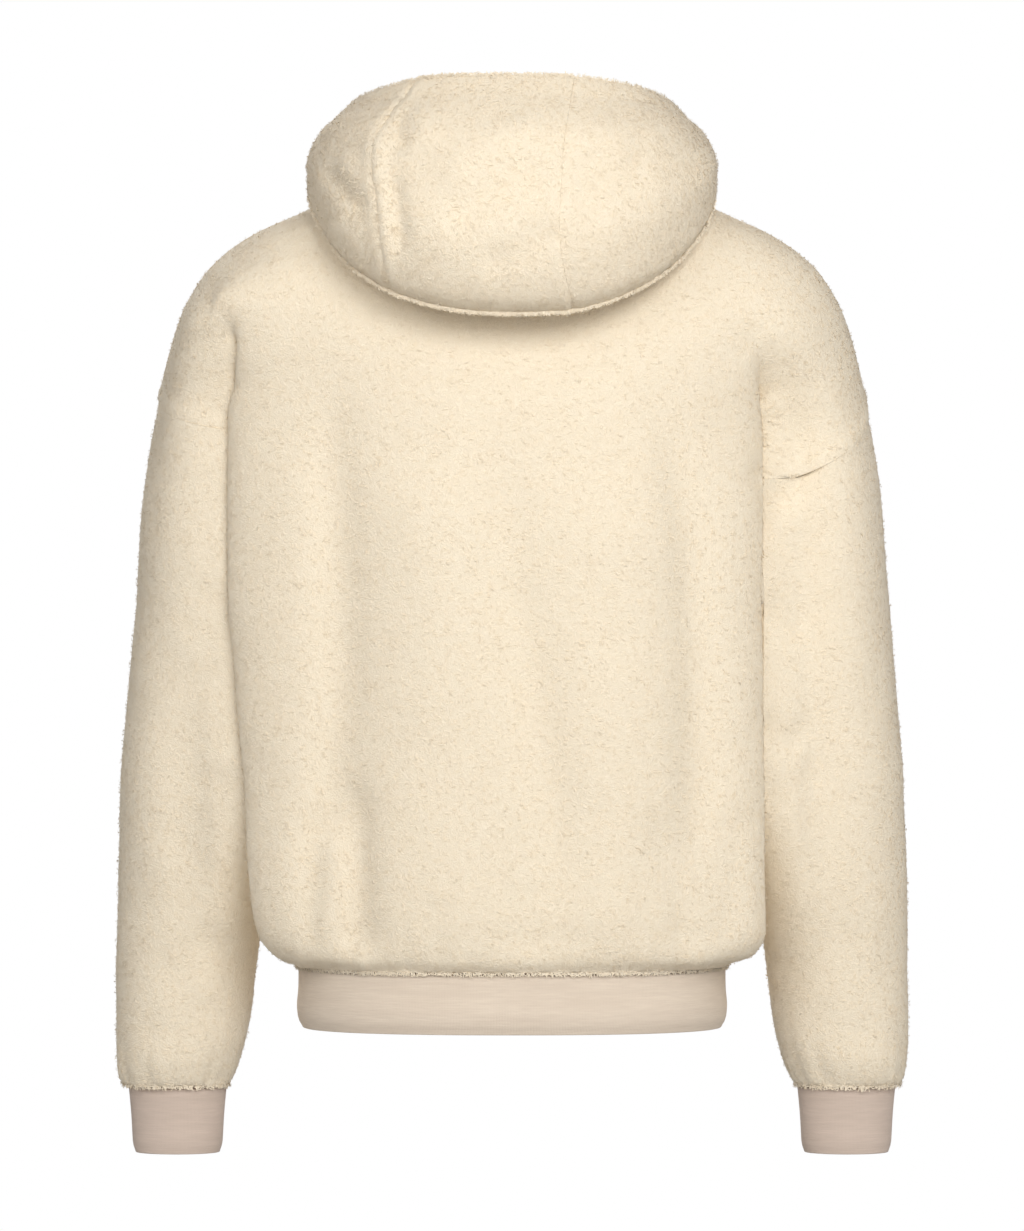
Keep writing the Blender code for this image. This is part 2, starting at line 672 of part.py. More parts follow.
def make_sleeves():
    """Sleeves, each one tube of cloth from armhole to cuff."""
    for side, name in ((LEFT, "left"), (RIGHT, "right")):
        points, directions = sleeve_grid(side)
        pull_in(points, directions, row=0)
        pull_in(points, directions, row=-1)
        wall("sleeve_" + name, points, directions, FLEECE, FLEECE_COLOUR, closed=True)


def make_cuffs():
    """Cuffs: knitted tubes that grip the wrist, narrower than the fleece above them."""
    for side, name in ((LEFT, "left"), (RIGHT, "right")):
        sleeve, sleeve_directions = sleeve_grid(side)
        columns = sleeve.shape[1]
        turn = np.arange(columns) * 2.0 * np.pi / columns
        rows = []
        for z in np.linspace(SLEEVE_END_Z - SEAM_GAP / 2.0, CUFF_END_Z, CUFF_ROWS + 1):
            x = side * (CUFF_X + along(CUFF, "half_x", z) * np.cos(turn))
            y = CUFF_Y + along(CUFF, "half_y", z) * np.sin(turn)
            rows.append(stack(x, y, z))
        points = np.stack(rows)
        width = CUFF["half_x"][-1]
        depth = CUFF["half_y"][-1]
        directions = stack(side * np.cos(turn) / width, np.sin(turn) / depth, 0.0)
        directions = np.broadcast_to(unit(directions), points.shape)
        wall("cuff_" + name, points, directions, KNIT, KNIT_COLOUR, closed=True)


def neck_curve(turn):
    """Point of the body's neckline, turn degrees round from centre back."""
    parts = []
    for side in (LEFT, RIGHT):
        for face in (BACK, FRONT):
            from_centre = np.abs(turn) if face == BACK else 180.0 - np.abs(turn)
            s, z = neckline(side, face, np.clip(from_centre, 0.0, 90.0))
            parts.append(outline(side, face, s, z))
    behind = (np.abs(turn) <= 90.0)[..., None]
    left = (turn >= 0.0)[..., None]
    return np.where(left, np.where(behind, parts[0], parts[1]), np.where(behind, parts[2], parts[3]))


def hood_ring(step, turn):
    """Point of the hood: step along from the neck seam, turn degrees round from centre back."""
    fade = 1.0 - smooth(step, 0.0, HOOD_NECK_FADE)
    step, turn = np.broadcast_arrays(np.asarray(step, float), np.asarray(turn, float))
    settle = neck_curve(turn) - hood_shape(np.zeros_like(step), turn)
    return hood_shape(step, turn) + fade[..., None] * settle


def hood_shape(step, turn):
    """Rings of the hood from its table, before they settle on the neckline."""
    size = {name: along(HOOD, name, step, key="step") for name in HOOD if name != "step"}
    angle = np.radians(turn)
    behind = np.abs(turn) <= 90.0
    side = np.where(turn < 0.0, RIGHT, LEFT)
    across = np.abs(np.sin(angle))
    to_centre = np.abs(np.cos(angle))
    x = size["side_x"] * np.where(behind, across ** HOOD_SIDE_POWER, across ** size["front_power"])
    y = {}
    z = {}
    for face, name in FACE_NAMES.items():
        reach = to_centre ** HOOD_DEPTH_POWER[face]
        fall = to_centre ** HOOD_HEIGHT_POWER[face]
        y[face] = size["side_y"] + (size[name + "_y"] - size["side_y"]) * reach
        z[face] = size["side_z"] + (size[name + "_z"] - size["side_z"]) * fall
    return stack(side * x, np.where(behind, y[BACK], y[FRONT]), np.where(behind, z[BACK], z[FRONT]))


def hood_direction(step, turn):
    """Outward direction of the hood's cloth."""
    low = np.maximum(step - SMALL_S, 0.0)
    high = np.minimum(step + SMALL_S, 1.0)
    away = hood_ring(high, turn) - hood_ring(low, turn)
    across = hood_ring(step, turn + SMALL_TURN) - hood_ring(step, turn - SMALL_TURN)
    return unit(np.cross(away, across))


def neck_row(turn):
    """Points and directions on the body's neckline at the given turns from centre back."""
    points = np.empty((len(turn), 3))
    directions = np.empty((len(turn), 3))
    for side in (LEFT, RIGHT):
        for face in (BACK, FRONT):
            turns = np.linspace(0.0, 90.0, NECK_COLUMNS + 1)
            s, z = neckline(side, face, turns)
            line = outline(side, face, s, z)
            facing = normal(side, face, s, z)
            facing[0, 0] = 0.0
            from_back = turns if face == BACK else 180.0 - turns
            order = np.argsort(from_back)
            same_side = np.where(turn < 0.0, RIGHT, LEFT) == side
            mine = same_side & ((np.abs(turn) <= 90.0) == (face == BACK))
            for axis in range(3):
                found = np.interp(np.abs(turn), from_back[order], line[order, axis])
                points[:, axis] = np.where(mine, found, points[:, axis])
                found = np.interp(np.abs(turn), from_back[order], facing[order, axis])
                directions[:, axis] = np.where(mine, found, directions[:, axis])
    return points, unit(directions)


def hood_panel(steps, first, last, columns):
    """Grid of one hood panel between two edges, given as turns at each step from the neck seam."""
    share = np.linspace(0.0, 1.0, columns + 1)
    turn = first[:, None] + (last - first)[:, None] * share
    step = np.broadcast_to(steps[:, None], turn.shape)
    points = hood_ring(step, turn)
    directions = hood_direction(step, turn)
    seam, seam_directions = neck_row(turn[0])
    up = np.array((0.0, 0.0, 1.0))
    rise = unit(up - seam_directions * np.sum(seam_directions * up, axis=-1, keepdims=True))
    points[0] = seam + rise * NECK_GAP
    directions[0] = seam_directions
    return points, grid_directions(points, directions)


def hood_front_edge(step):
    """Turn at which a side panel of the hood ends, half the front gap from the centre line."""
    share = HOOD_FRONT_GAP / 2.0 / along(HOOD, "side_x", step, key="step")
    return 180.0 - np.degrees(np.arcsin(share ** (1.0 / along(HOOD, "front_power", step, key="step"))))


def make_hood():
    """Hood: a centre strip and two side panels, open at the front."""
    steps = np.linspace(0.0, 1.0, HOOD_ROWS + 1)
    left = along(STRIP, "left", steps, key="step")
    right = -along(STRIP, "right", steps, key="step")
    front = hood_front_edge(steps)
    panels = (
        ("hood_left", left, front, HOOD_SIDE_COLUMNS),
        ("hood_centre", right, left, HOOD_CENTRE_COLUMNS),
        ("hood_right", -front, right, HOOD_SIDE_COLUMNS),
    )
    for name, first, last, columns in panels:
        points, directions = hood_panel(steps, first, last, columns)
        pull_in(points, directions, column=0)
        pull_in(points, directions, column=-1)
        wall(name, points, directions, FLEECE, FLEECE_COLOUR)


def main():
    """Clear the scene and make the hoodie under one frame."""
    for old in list(bpy.data.objects):
        bpy.data.objects.remove(old)
    collection = bpy.data.collections.new(NAME)
    bpy.context.scene.collection.children.link(collection)
    collection.objects.link(bpy.data.objects.new(NAME + "_frame", None))
    make_body()
    make_sleeves()
    make_hood()
    make_band()
    make_cuffs()


main()
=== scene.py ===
"""Looks of a pullover hoodie in curly fleece, filled out as it is worn, seen from behind.

Each panel of the garment is one surface over two parameters: along its rows and up its
columns. Folds, seams and gathers are heights above that surface, the pile on it is made of
short curled wisps, and the hem band and cuffs are a profile carried round a ring. Sizes are
in millimetres up to the point where a mesh is made. +X is the wearer's left, -Y the front.
"""
import bpy
import numpy as np
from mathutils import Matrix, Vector


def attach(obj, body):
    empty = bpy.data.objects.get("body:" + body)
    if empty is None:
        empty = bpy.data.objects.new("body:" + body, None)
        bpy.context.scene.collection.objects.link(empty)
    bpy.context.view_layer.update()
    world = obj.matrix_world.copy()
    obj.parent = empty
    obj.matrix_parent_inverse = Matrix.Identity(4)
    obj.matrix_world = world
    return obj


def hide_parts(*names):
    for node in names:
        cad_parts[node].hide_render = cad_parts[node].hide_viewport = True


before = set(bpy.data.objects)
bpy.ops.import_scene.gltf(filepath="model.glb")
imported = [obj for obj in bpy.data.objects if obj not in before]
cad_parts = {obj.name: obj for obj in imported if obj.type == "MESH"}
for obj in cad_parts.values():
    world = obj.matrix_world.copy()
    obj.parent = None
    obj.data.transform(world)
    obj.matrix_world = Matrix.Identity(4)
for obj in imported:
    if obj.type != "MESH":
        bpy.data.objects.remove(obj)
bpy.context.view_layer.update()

MM = 0.001
BACK = 1
FRONT = -1
LEFT = 1
RIGHT = -1
FACE_NAMES = {BACK: "back", FRONT: "front"}
SIDE_NAMES = {LEFT: "left", RIGHT: "right"}

# Cloth
FLEECE = 3.0
KNIT = 2.2
SEAM_GAP = 0.15
NECK_GAP = 0.6

# Heights on the body and sleeves, below the shoulder points of the neckline
HEM_Z = -687.0
BAND_TOP_Z = -638.0
UNDERARM_Z = -320.0
CREASE_TOP_Z = -170.0
SHOULDER_SEAM_END_Z = -182.0
NECK_BACK_Z = -22.0
NECK_FRONT_Z = -85.0
NECK_HALF_WIDTH = 92.0
SLEEVE_END_Z = -737.0
CUFF_END_Z = -792.0

# The outline of a level cut through the body is a rounded square: 2 / 2.4
SQUARENESS = 2.0 / 2.4
SIDE_SEAM_Y = -10.0
CREASE_DEPTH_Y = 38.0
CREASE_RADIUS = 7.5

# How finely the panels are divided, as multiples of the plain solids' columns and rows
FINE_COLUMNS = 4
FINE_ROWS = 5
HALF_COLUMNS = 20 * FINE_COLUMNS
NECK_COLUMNS = 8 * FINE_COLUMNS
SIDE_ROWS = 13 * FINE_ROWS
CREASE_ROWS = 5 * FINE_ROWS
CAP_ROWS = 5 * FINE_ROWS
SLEEVE_ROWS = 17 * FINE_ROWS
HOOD_ROWS = 16 * FINE_ROWS
HOOD_SIDE_COLUMNS = 20 * FINE_COLUMNS
HOOD_CENTRE_COLUMNS = 12 * FINE_COLUMNS
SIDE_ROW_SPREAD = 1.3
CENTRE_ROW_SPREAD = 1.14
CAP_ROW_SPREAD = 1.6
SLEEVE_ROW_SPREAD = 0.85
CREASE_COLUMN_START = 0.95
CREASE_COLUMN_SHARE = 0.9
TOP_COLUMN_BLEND = 0.78
TOP_ROW_BLEND = 0.45
TOP_ROW_POWER = 1.5
SLEEVE_START = 1.0 / 17.0

# Steps over which directions are measured
SMALL_S = 0.004
SMALL_Z = 0.4
SMALL_TURN = 0.4

# The stretch of a level half outline that is body, then crease, then arm
BODY_END = 1.85
CREASE_MIDDLE = 2.0
ARM_START = 2.15
OUTLINE_END = 4.0


def table(columns, *rows):
    """A table of sizes, one array for each named column."""
    return {name: np.array([row[i] for row in rows], float) for i, name in enumerate(columns)}


# Level cuts through the body: half width at the side seam, depth at centre back and front
BODY = table(
    ("height", "side", "back", "front"),
    (-687, 171.5, 108, -103),
    (-638, 173, 109, -104),
    (-631, 181, 116, -111),
    (-616, 184.5, 122, -116),
    (-590, 185, 126, -119),
    (-500, 185, 130, -122),
    (-400, 185, 134, -126),
    (-300, 185, 137, -130),
    (-200, 185, 133, -126),
    (-150, 185, 126, -118),
    (-100, 185, 112, -101),
    (-60, 185, 97, -82),
    (-40, 185, 86, -68),
    (-22, 185, 75, -50),
    (-8, 185, 52, -34),
    (0, 185, 30, -25),
)

# The outermost line of shoulder and sleeve, and the arm inside it
ARM = table(
    ("height", "out", "inner", "depth", "middle_y"),
    (-737, 314, 229, 35, -58),
    (-730, 317.5, 225, 39, -58),
    (-714, 319.5, 219, 44, -57),
    (-690, 320, 213, 48, -56),
    (-646, 319.5, 207, 53, -54),
    (-600, 319, 202, 59, -50),
    (-486, 315, 200, 68, -42),
    (-358, 304.5, 200, 76, -38),
    (-262, 297, 200, 79, -37),
    (-182, 283, 200, 76, -34),
    (-118, 265, 200, 68, -24),
    (-86, 247, 200, 60, -19),
    (-70, 231, 200, 56, -16),
    (-54, 207, 200, 52, -12),
    (-38, 173, 200, 50, -8),
    (-20, 134, 200, 50, -4),
    (0, 92, 200, 50, 0),
)

# Fold of the back panel over the sleeve: how far it stands out on either side
FOLD_ANGLE = 64.0
FOLD_BACK_SPREAD = 20.0
FOLD_FRONT_SPREAD = 8.0
FOLD = table(
    ("height", "left", "right"),
    (-638, 0, 0),
    (-628, 18, 22),
    (-607, 31, 31),
    (-560, 38, 30),
    (-514, 41, 29),
    (-406, 48, 28),
    (-350, 55, 27),
    (-150, 55, 27),
)

# Soft folds that fall down the back: middle, half width, depth at the top and at the hem
BACK_FOLDS = (
    (130, 24, 2, 10),
    (-16, 30, 3, 5),
    (-150, 20, 3, 6),
)
BACK_FOLDS_TOP_Z = -170.0
BACK_FOLDS_SHOWN = (110.0, 290.0)
BACK_FOLDS_HEM_FADE = 30.0
BACK_FOLDS_SIDE_FADE = 0.35

# Where the shoulder oval has turned into body and arm, and where the armhole leaves the crease
SPLIT_START_Z = {LEFT: -95.0, RIGHT: -112.0}
SPLIT_END_Z = {LEFT: -205.0, RIGHT: -222.0}
ARMHOLE_CORNER_Z = {
    (LEFT, BACK): -212.0,
    (LEFT, FRONT): -226.0,
    (RIGHT, BACK): -250.0,
    (RIGHT, FRONT): -226.0,
}

# Top of the left fold: where it lies by height, and how far it is slid out to hang straight
FOLD_TOP = table(
    ("height", "place", "slide"),
    (-210, 226, 0),
    (-181, 225, 1),
    (-155, 212, 13),
    (-128, 198, 27),
    (-108, 189, 34),
    (-90, 186, 20),
    (-72, 184, 0),
)
FOLD_TOP_WIDTH = 26.0

# Cloth of the arm laid flush with the fold over it: step at the fold, slope and reach beside it
FLUSH_STEP = 5.0
FLUSH_SLOPE = 0.42
FLUSH_SOFTNESS = 5.0
FLUSH_START = (-15.0, -6.0)
FLUSH_REACH = (24.0, 64.0)
FLUSH_TOP = {LEFT: (-130.0, -90.0), RIGHT: (-140.0, -100.0)}
FLUSH_HEM = (-655.0, -470.0)
FLUSH_SEAM_FADE = (3.2, 4.0)    # on the outline, so that the shoulder seam stays closed
FLUSH_SEAM_FADE_TURN = 0.75
FLUSH_INNER_TURN = (3.15, 3.8)
FLUSH_TUCK = 4.0
FLUSH_TUCK_WIDTH = 9.0
FOLD_LAST = 1.75

# Rings of the hood, from the neck seam over the roll and round the pouch to the face edge
HOOD = table(
    ("step", "back_y", "back_z", "side_x", "side_y", "side_z", "front_y", "front_z", "front_power"),
    (0.00, 75, -22, 92, 0, 0, -95, -85, 0.9),
    (0.07, 84, -3, 98, 2, 14, -98, -81, 0.9),
    (0.14, 98, -1, 110, 6, 20, -101, -77, 1.05),
    (0.28, 117, -50, 128, 14, 9, -106, -70, 1.2),
    (0.42, 132, -104, 146, 28, -15, -110, -65, 1.2),
    (0.50, 149, -127, 157, 36, -26, -112, -62, 1.2),
    (0.58, 176, -115, 162, 38, -22, -113, -60, 1.2),
    (0.72, 194, -60, 162.5, 36, 0, -113, -57, 1.25),
    (0.86, 182, 6, 153, 26, 24, -111, -54, 1.3),
    (1.00, 134, 63, 131, 6, 45, -105, -51, 1.35),
)

# Turns from centre back at which the seams of the hood's centre strip lie
STRIP = table(
    ("step", "left", "right"),
    (0.00, 30, 27),
    (0.28, 31, 22),
    (0.50, 32, 15),
    (0.58, 33, 13),
    (0.72, 36, 10),
    (0.86, 40, 12),
    (1.00, 31, 18),
)
HOOD_NECK_FADE = 0.45
HOOD_FRONT_GAP = 3.0
HOOD_SIDE_POWER = 0.85
HOOD_DEPTH_POWER = {BACK: 0.9, FRONT: 0.95}
HOOD_HEIGHT_POWER = {BACK: 1.25, FRONT: 2.0}
NECK_HEIGHT_POWER = {BACK: 2.0, FRONT: 1.5}
NECK_WIDTH_POWER = 0.9

# Knitted hem band and cuffs
BAND_INSET = 2.0
BAND_SWELL = 1.3
BAND_SWELL_PLACE = 0.64
BAND_SWELL_WIDTH = 0.14
BAND_ROUNDING = 3.0
CUFF_INSET = 1.4
CUFF_ROUNDING = 1.8
CUFF_COLUMNS = 96
CUFF = table(
    ("height", "half_x", "half_y"),
    (-792, 36, 28),
    (-762, 38.3, 30.4),
    (-737, 41.2, 33.7),
)
CUFF_X = 270.5
CUFF_Y = -58.0


def along(sizes, name, place, key="height"):
    """Read a column of a table between its rows, on a smooth curve that never overshoots."""
    x = sizes[key]
    y = sizes[name]
    place = np.asarray(place, float)
    step = np.diff(x)
    slope = np.diff(y) / step
    tangent = np.empty_like(y)
    tangent[0] = slope[0]
    tangent[-1] = slope[-1]
    same = slope[:-1] * slope[1:] > 0.0
    total = np.where(same, slope[:-1] + slope[1:], 1.0)
    tangent[1:-1] = np.where(same, 2.0 * slope[:-1] * slope[1:] / total, 0.0)
    i = np.clip(np.searchsorted(x, place, side="right") - 1, 0, len(step) - 1)
    t = np.clip((place - x[i]) / step[i], 0.0, 1.0)
    rise = t * t * (3.0 - 2.0 * t)
    start = t * (1.0 - t) ** 2 * step[i] * tangent[i]
    end = t * t * (t - 1.0) * step[i] * tangent[i + 1]
    return y[i] + (y[i + 1] - y[i]) * rise + start + end


def smooth(value, low, high):
    """0 below low, 1 above high, and a soft step between them."""
    t = np.clip((value - low) / (high - low), 0.0, 1.0)
    return t * t * (3.0 - 2.0 * t)


def bell(distance, width):
    """1 at no distance, falling off to nothing over about twice the width."""
    return np.exp(-0.5 * (distance / width) ** 2)


def unit(vectors):
    """Vectors brought to length 1."""
    return vectors / np.maximum(np.linalg.norm(vectors, axis=-1, keepdims=True), 1e-12)


def stack(x, y, z):
    """Points from their three coordinates, any of which may be one number for all."""
    return np.stack(np.broadcast_arrays(x, y, z), axis=-1).astype(float)


def rounded(wave):
    """A sine or cosine bent so that an oval drawn with it becomes a rounded square."""
    return np.abs(wave) ** SQUARENESS


def split(side, z):
    """0 where the shoulder is one oval, 1 where body and arm are parted by a crease."""
    return 1.0 - smooth(z, SPLIT_END_Z[side], SPLIT_START_Z[side])


def crease_y(face, z):
    """Bottom of the crease between body and arm, a quarter ellipse that ends at the underarm."""
    fall = np.clip((CREASE_TOP_Z - z) / (CREASE_TOP_Z - UNDERARM_Z), 0.0, 1.0)
    return SIDE_SEAM_Y + face * CREASE_DEPTH_Y * np.sqrt(1.0 - fall * fall)


def body_angle_at_crease(face, z):
    """Angle round the body, from centre back or front, at which the crease begins."""
    depth = along(BODY, FACE_NAMES[face], z) - SIDE_SEAM_Y
    reach = (crease_y(face, z) + face * CREASE_RADIUS - SIDE_SEAM_Y) / depth
    angle = np.arccos(np.clip(reach, 0.0, 1.0) ** (1.0 / SQUARENESS))
    return np.where(z < UNDERARM_Z, np.pi / 2, angle)


def arm_angle_at_crease(face, z):
    """Angle round the arm, from its outermost line, at which the crease begins."""
    reach = face * (crease_y(face, z) + face * CREASE_RADIUS - along(ARM, "middle_y", z))
    return np.pi - np.arcsin(np.clip(reach / along(ARM, "depth", z), -1.0, 1.0))


def body_point(side, face, angle, z):
    """Body as a rounded square: half width times the bent sine, depth times the bent cosine.

    On the back, a bell of the angle from FOLD_ANGLE stands out sideways as the fold over the arm,
    and each soft fold takes a bell of x off the depth, deeper towards the hem.
    """
    x = along(BODY, "side", z) * rounded(np.sin(angle))
    y = SIDE_SEAM_Y + (along(BODY, FACE_NAMES[face], z) - SIDE_SEAM_Y) * rounded(np.cos(angle))
    if face == BACK:
        turn = np.degrees(angle) - FOLD_ANGLE
        spread = np.where(turn < 0.0, FOLD_BACK_SPREAD, FOLD_FRONT_SPREAD)
        to_seam = smooth(-turn, FOLD_ANGLE - 90.0, FOLD_ANGLE - 80.0)
        x = x + along(FOLD, SIDE_NAMES[side], z) * bell(turn, spread) * to_seam
        fall = np.clip((BACK_FOLDS_TOP_Z - z) / (BACK_FOLDS_TOP_Z - BAND_TOP_Z), 0.0, 1.0)
        shown = smooth(-z, *BACK_FOLDS_SHOWN) * smooth(z, BAND_TOP_Z, BAND_TOP_Z + BACK_FOLDS_HEM_FADE)
        shown = shown * smooth(np.cos(angle), 0.0, BACK_FOLDS_SIDE_FADE)
        for middle, width, top, bottom in BACK_FOLDS:
            y = y - (top + (bottom - top) * fall) * shown * bell(side * x - middle, width)
    return stack(side * x, y, z)


def arm_oval(side, face, angle, z):
    """Arm as an ellipse: x is its middle plus half its width times the cosine, y its depth times the sine.

    The angle is measured from the outermost line.
    """
    half = (along(ARM, "out", z) - along(ARM, "inner", z)) / 2.0
    middle = (along(ARM, "out", z) + along(ARM, "inner", z)) / 2.0
    x = middle + half * np.cos(angle)
    y = along(ARM, "middle_y", z) + face * along(ARM, "depth", z) * np.sin(angle)
    return stack(side * x, y, z)


def shoulder_oval(side, face, s, z):
    """Body and both shoulders in one rounded square, for the cuts above the crease.

    x is the outermost reach times the bent sine, y the depth times the bent cosine of a quarter turn.
    """
    angle = np.pi / 2 * s / OUTLINE_END
    middle = along(ARM, "middle_y", z)
    x = along(ARM, "out", z) * rounded(np.sin(angle))
    y = middle + (along(BODY, FACE_NAMES[face], z) - middle) * rounded(np.cos(angle))
    return stack(side * x, y, z)


def body_part(side, face, s, z):
    """Outline from the centre to where the crease begins."""
    part = split(side, z)[..., None]
    angle = body_angle_at_crease(face, z) * s / BODY_END
    return (1.0 - part) * shoulder_oval(side, face, s, z) + part * body_point(side, face, angle, z)


def arm_part(side, face, s, z):
    """Outline from where the crease ends to the outermost line."""
    part = split(side, z)[..., None]
    angle = arm_angle_at_crease(face, z) * (OUTLINE_END - s) / (OUTLINE_END - ARM_START)
    return (1.0 - part) * shoulder_oval(side, face, s, z) + part * arm_oval(side, face, angle, z)


def outline(side, face, s, z):
    """Half of a level cut, from the centre (0) over the crease (2) to the outermost line (4).

    Body and arm are joined by a cubic Bezier curve that leaves each in its own direction and
    reaches further the more they turn away from each other.
    """
    s, z = np.broadcast_arrays(np.asarray(s, float), np.asarray(z, float))
    start = np.full_like(s, BODY_END)
    end = np.full_like(s, ARM_START)
    a = body_part(side, face, start, z)
    b = arm_part(side, face, end, z)
    a_way = unit(a - body_part(side, face, start - SMALL_S, z))
    b_way = unit(arm_part(side, face, end + SMALL_S, z) - b)
    turn = (1.0 - np.sum(a_way * b_way, axis=-1, keepdims=True)) / 2.0
    reach = np.linalg.norm(b - a, axis=-1, keepdims=True) * (1.0 + turn) / 3.0
    t = np.clip((s - BODY_END) / (ARM_START - BODY_END), 0.0, 1.0)[..., None]
    bend = (1 - t) ** 3 * a + 3 * t * (1 - t) ** 2 * (a + reach * a_way)
    bend = bend + 3 * t * t * (1 - t) * (b - reach * b_way) + t ** 3 * b
    body = body_part(side, face, np.minimum(s, BODY_END), z)
    arm = arm_part(side, face, np.maximum(s, ARM_START), z)
    s = s[..., None]
    return np.where(s <= BODY_END, body, np.where(s >= ARM_START, arm, bend))


def normal(side, face, s, z):
    """Outward direction of the cloth, from how the outline changes along s and z."""
    s, z = np.broadcast_arrays(np.asarray(s, float), np.asarray(z, float))
    low = np.maximum(s - SMALL_S, 0.0)
    high = np.minimum(s + SMALL_S, OUTLINE_END)
    below = z < UNDERARM_Z
    high = np.where(below, np.minimum(high, BODY_END), high)
    low_z = np.where(below, z - SMALL_Z, np.maximum(z - SMALL_Z, UNDERARM_Z))
    high_z = np.where(below, np.minimum(z + SMALL_Z, UNDERARM_Z - 1e-6), z + SMALL_Z)
    across = outline(side, face, high, z) - outline(side, face, low, z)
    up = outline(side, face, s, high_z) - outline(side, face, s, low_z)
    return unit(np.cross(across, up)) * (side * face) * -1.0


def seam_direction(side, s, z):
    """Outward direction on a seam between front and back, the mean of the two sides."""
    return unit(normal(side, BACK, s, z) + normal(side, FRONT, s, z))


def neckline(side, face, turn):
    """Place on the outline (s and z) of the neckline, turn degrees round from the centre.

    Its height is the lowest point times a power of the cosine, its width a power of the sine.
    """
    angle = np.radians(turn)
    lowest = NECK_BACK_Z if face == BACK else NECK_FRONT_Z
    z = lowest * np.abs(np.cos(angle)) ** NECK_HEIGHT_POWER[face]
    x = NECK_HALF_WIDTH * np.sin(angle) ** NECK_WIDTH_POWER
    share = np.clip(x / along(ARM, "out", z), 0.0, 1.0) ** (1.0 / SQUARENESS)
    return OUTLINE_END * 2.0 / np.pi * np.arcsin(share), z


def shoulder_seam(count):
    """Heights of evenly spaced points on the shoulder seam, from the neck to its end."""
    z = np.linspace(0.0, SHOULDER_SEAM_END_Z, 200)
    x = along(ARM, "out", z)
    length = np.concatenate(([0.0], np.cumsum(np.hypot(np.diff(x), np.diff(z)))))
    return np.interp(np.linspace(0.0, length[-1], count + 1), length, z)


def armhole(side, face):
    """Armhole seam as places on the outline, from the underarm to the end of the shoulder seam.

    It climbs the crease by the cosine of even angles up to the corner, then crosses the outline at
    an even pace and rises by a power of the way.
    """
    corner = ARMHOLE_CORNER_Z[side, face]
    last = np.arccos((CREASE_TOP_Z - corner) / (CREASE_TOP_Z - UNDERARM_Z))
    angle = np.linspace(0.0, last, CREASE_ROWS + 1)
    crease_z = CREASE_TOP_Z - (CREASE_TOP_Z - UNDERARM_Z) * np.cos(angle)
    t = np.linspace(0.0, 1.0, CAP_ROWS + 1)[1:]
    cap_s = CREASE_MIDDLE + (OUTLINE_END - CREASE_MIDDLE) * t
    cap_z = corner + (SHOULDER_SEAM_END_Z - corner) * t ** CAP_ROW_SPREAD
    s = np.concatenate((np.full(CREASE_ROWS + 1, CREASE_MIDDLE), cap_s))
    return s, np.concatenate((crease_z, cap_z))


def slide_fold(points, side, s):
    """Slide the top of the left fold outwards by a bell of the distance from where it lay."""
    if side == RIGHT:
        return points
    place = along(FOLD_TOP, "place", points[..., 2])
    away = np.abs(points[..., 0]) - place
    shift = along(FOLD_TOP, "slide", points[..., 2]) * bell(away, FOLD_TOP_WIDTH)
    shift = shift * (1.0 - smooth(s, *FLUSH_SEAM_FADE))
    return points + stack(side * shift, 0.0, 0.0)


def fold_edge(side):
    """Outermost place of the fold over the arm at every height: heights, distances out and depths."""
    z = np.linspace(-660.0, -80.0, 117)
    s = np.linspace(0.5, FOLD_LAST, 300)
    level = slide_fold(outline(side, BACK, s, z[:, None]), side, s)
    out = np.abs(level[..., 0])
    best = np.argmax(out, axis=1)
    row = np.arange(len(z))
    return z, out[row, best], level[row, best, 1]


def lay_flush(points, side, share):
    """Raise the arm's cloth beside the fold to the fold's depth, fading with the distance from it.

    The raised cloth is also tucked in under the fold's edge by a bell of that distance.
    """
    z, out, depth = FOLD_EDGES[side]
    height = points[..., 2]
    away = np.abs(points[..., 0]) - np.interp(height, z, out)
    goal = np.interp(height, z, depth) - FLUSH_STEP - FLUSH_SLOPE * np.maximum(away, 0.0)
    lack = FLUSH_SOFTNESS * np.logaddexp(0.0, (goal - points[..., 1]) / FLUSH_SOFTNESS)
    beside = smooth(away, *FLUSH_START) * (1.0 - smooth(away, *FLUSH_REACH))
    rows = smooth(height, *FLUSH_HEM) * (1.0 - smooth(height, *FLUSH_TOP[side]))
    raised = beside * rows * share
    tuck = FLUSH_TUCK * bell(away, FLUSH_TUCK_WIDTH) * raised
    return points + stack(-side * tuck, lack * raised, 0.0)


FOLD_EDGES = {side: fold_edge(side) for side in SIDE_NAMES}


def underarm(side):
    """Point where body, sleeve and side seam meet, midway between body and arm."""
    back = outline(side, BACK, CREASE_MIDDLE, UNDERARM_Z)
    front = outline(side, FRONT, CREASE_MIDDLE, UNDERARM_Z)
    return np.array(((back[0] + front[0]) / 2.0, SIDE_SEAM_Y, UNDERARM_Z))


def armhole_points(side, face):
    """Points and outward directions along the armhole, the underarm facing straight down."""
    s, z = armhole(side, face)
    points = outline(side, face, s, z)
    if face == BACK:
        points = lay_flush(slide_fold(points, side, s), side, 1.0 - smooth(s, *FLUSH_SEAM_FADE))
    directions = normal(side, face, s, z)
    points[0] = underarm(side)
    directions[0] = (0.0, 0.0, -1.0)
    directions[-1] = seam_direction(side, s[-1], z[-1])
    return points, directions


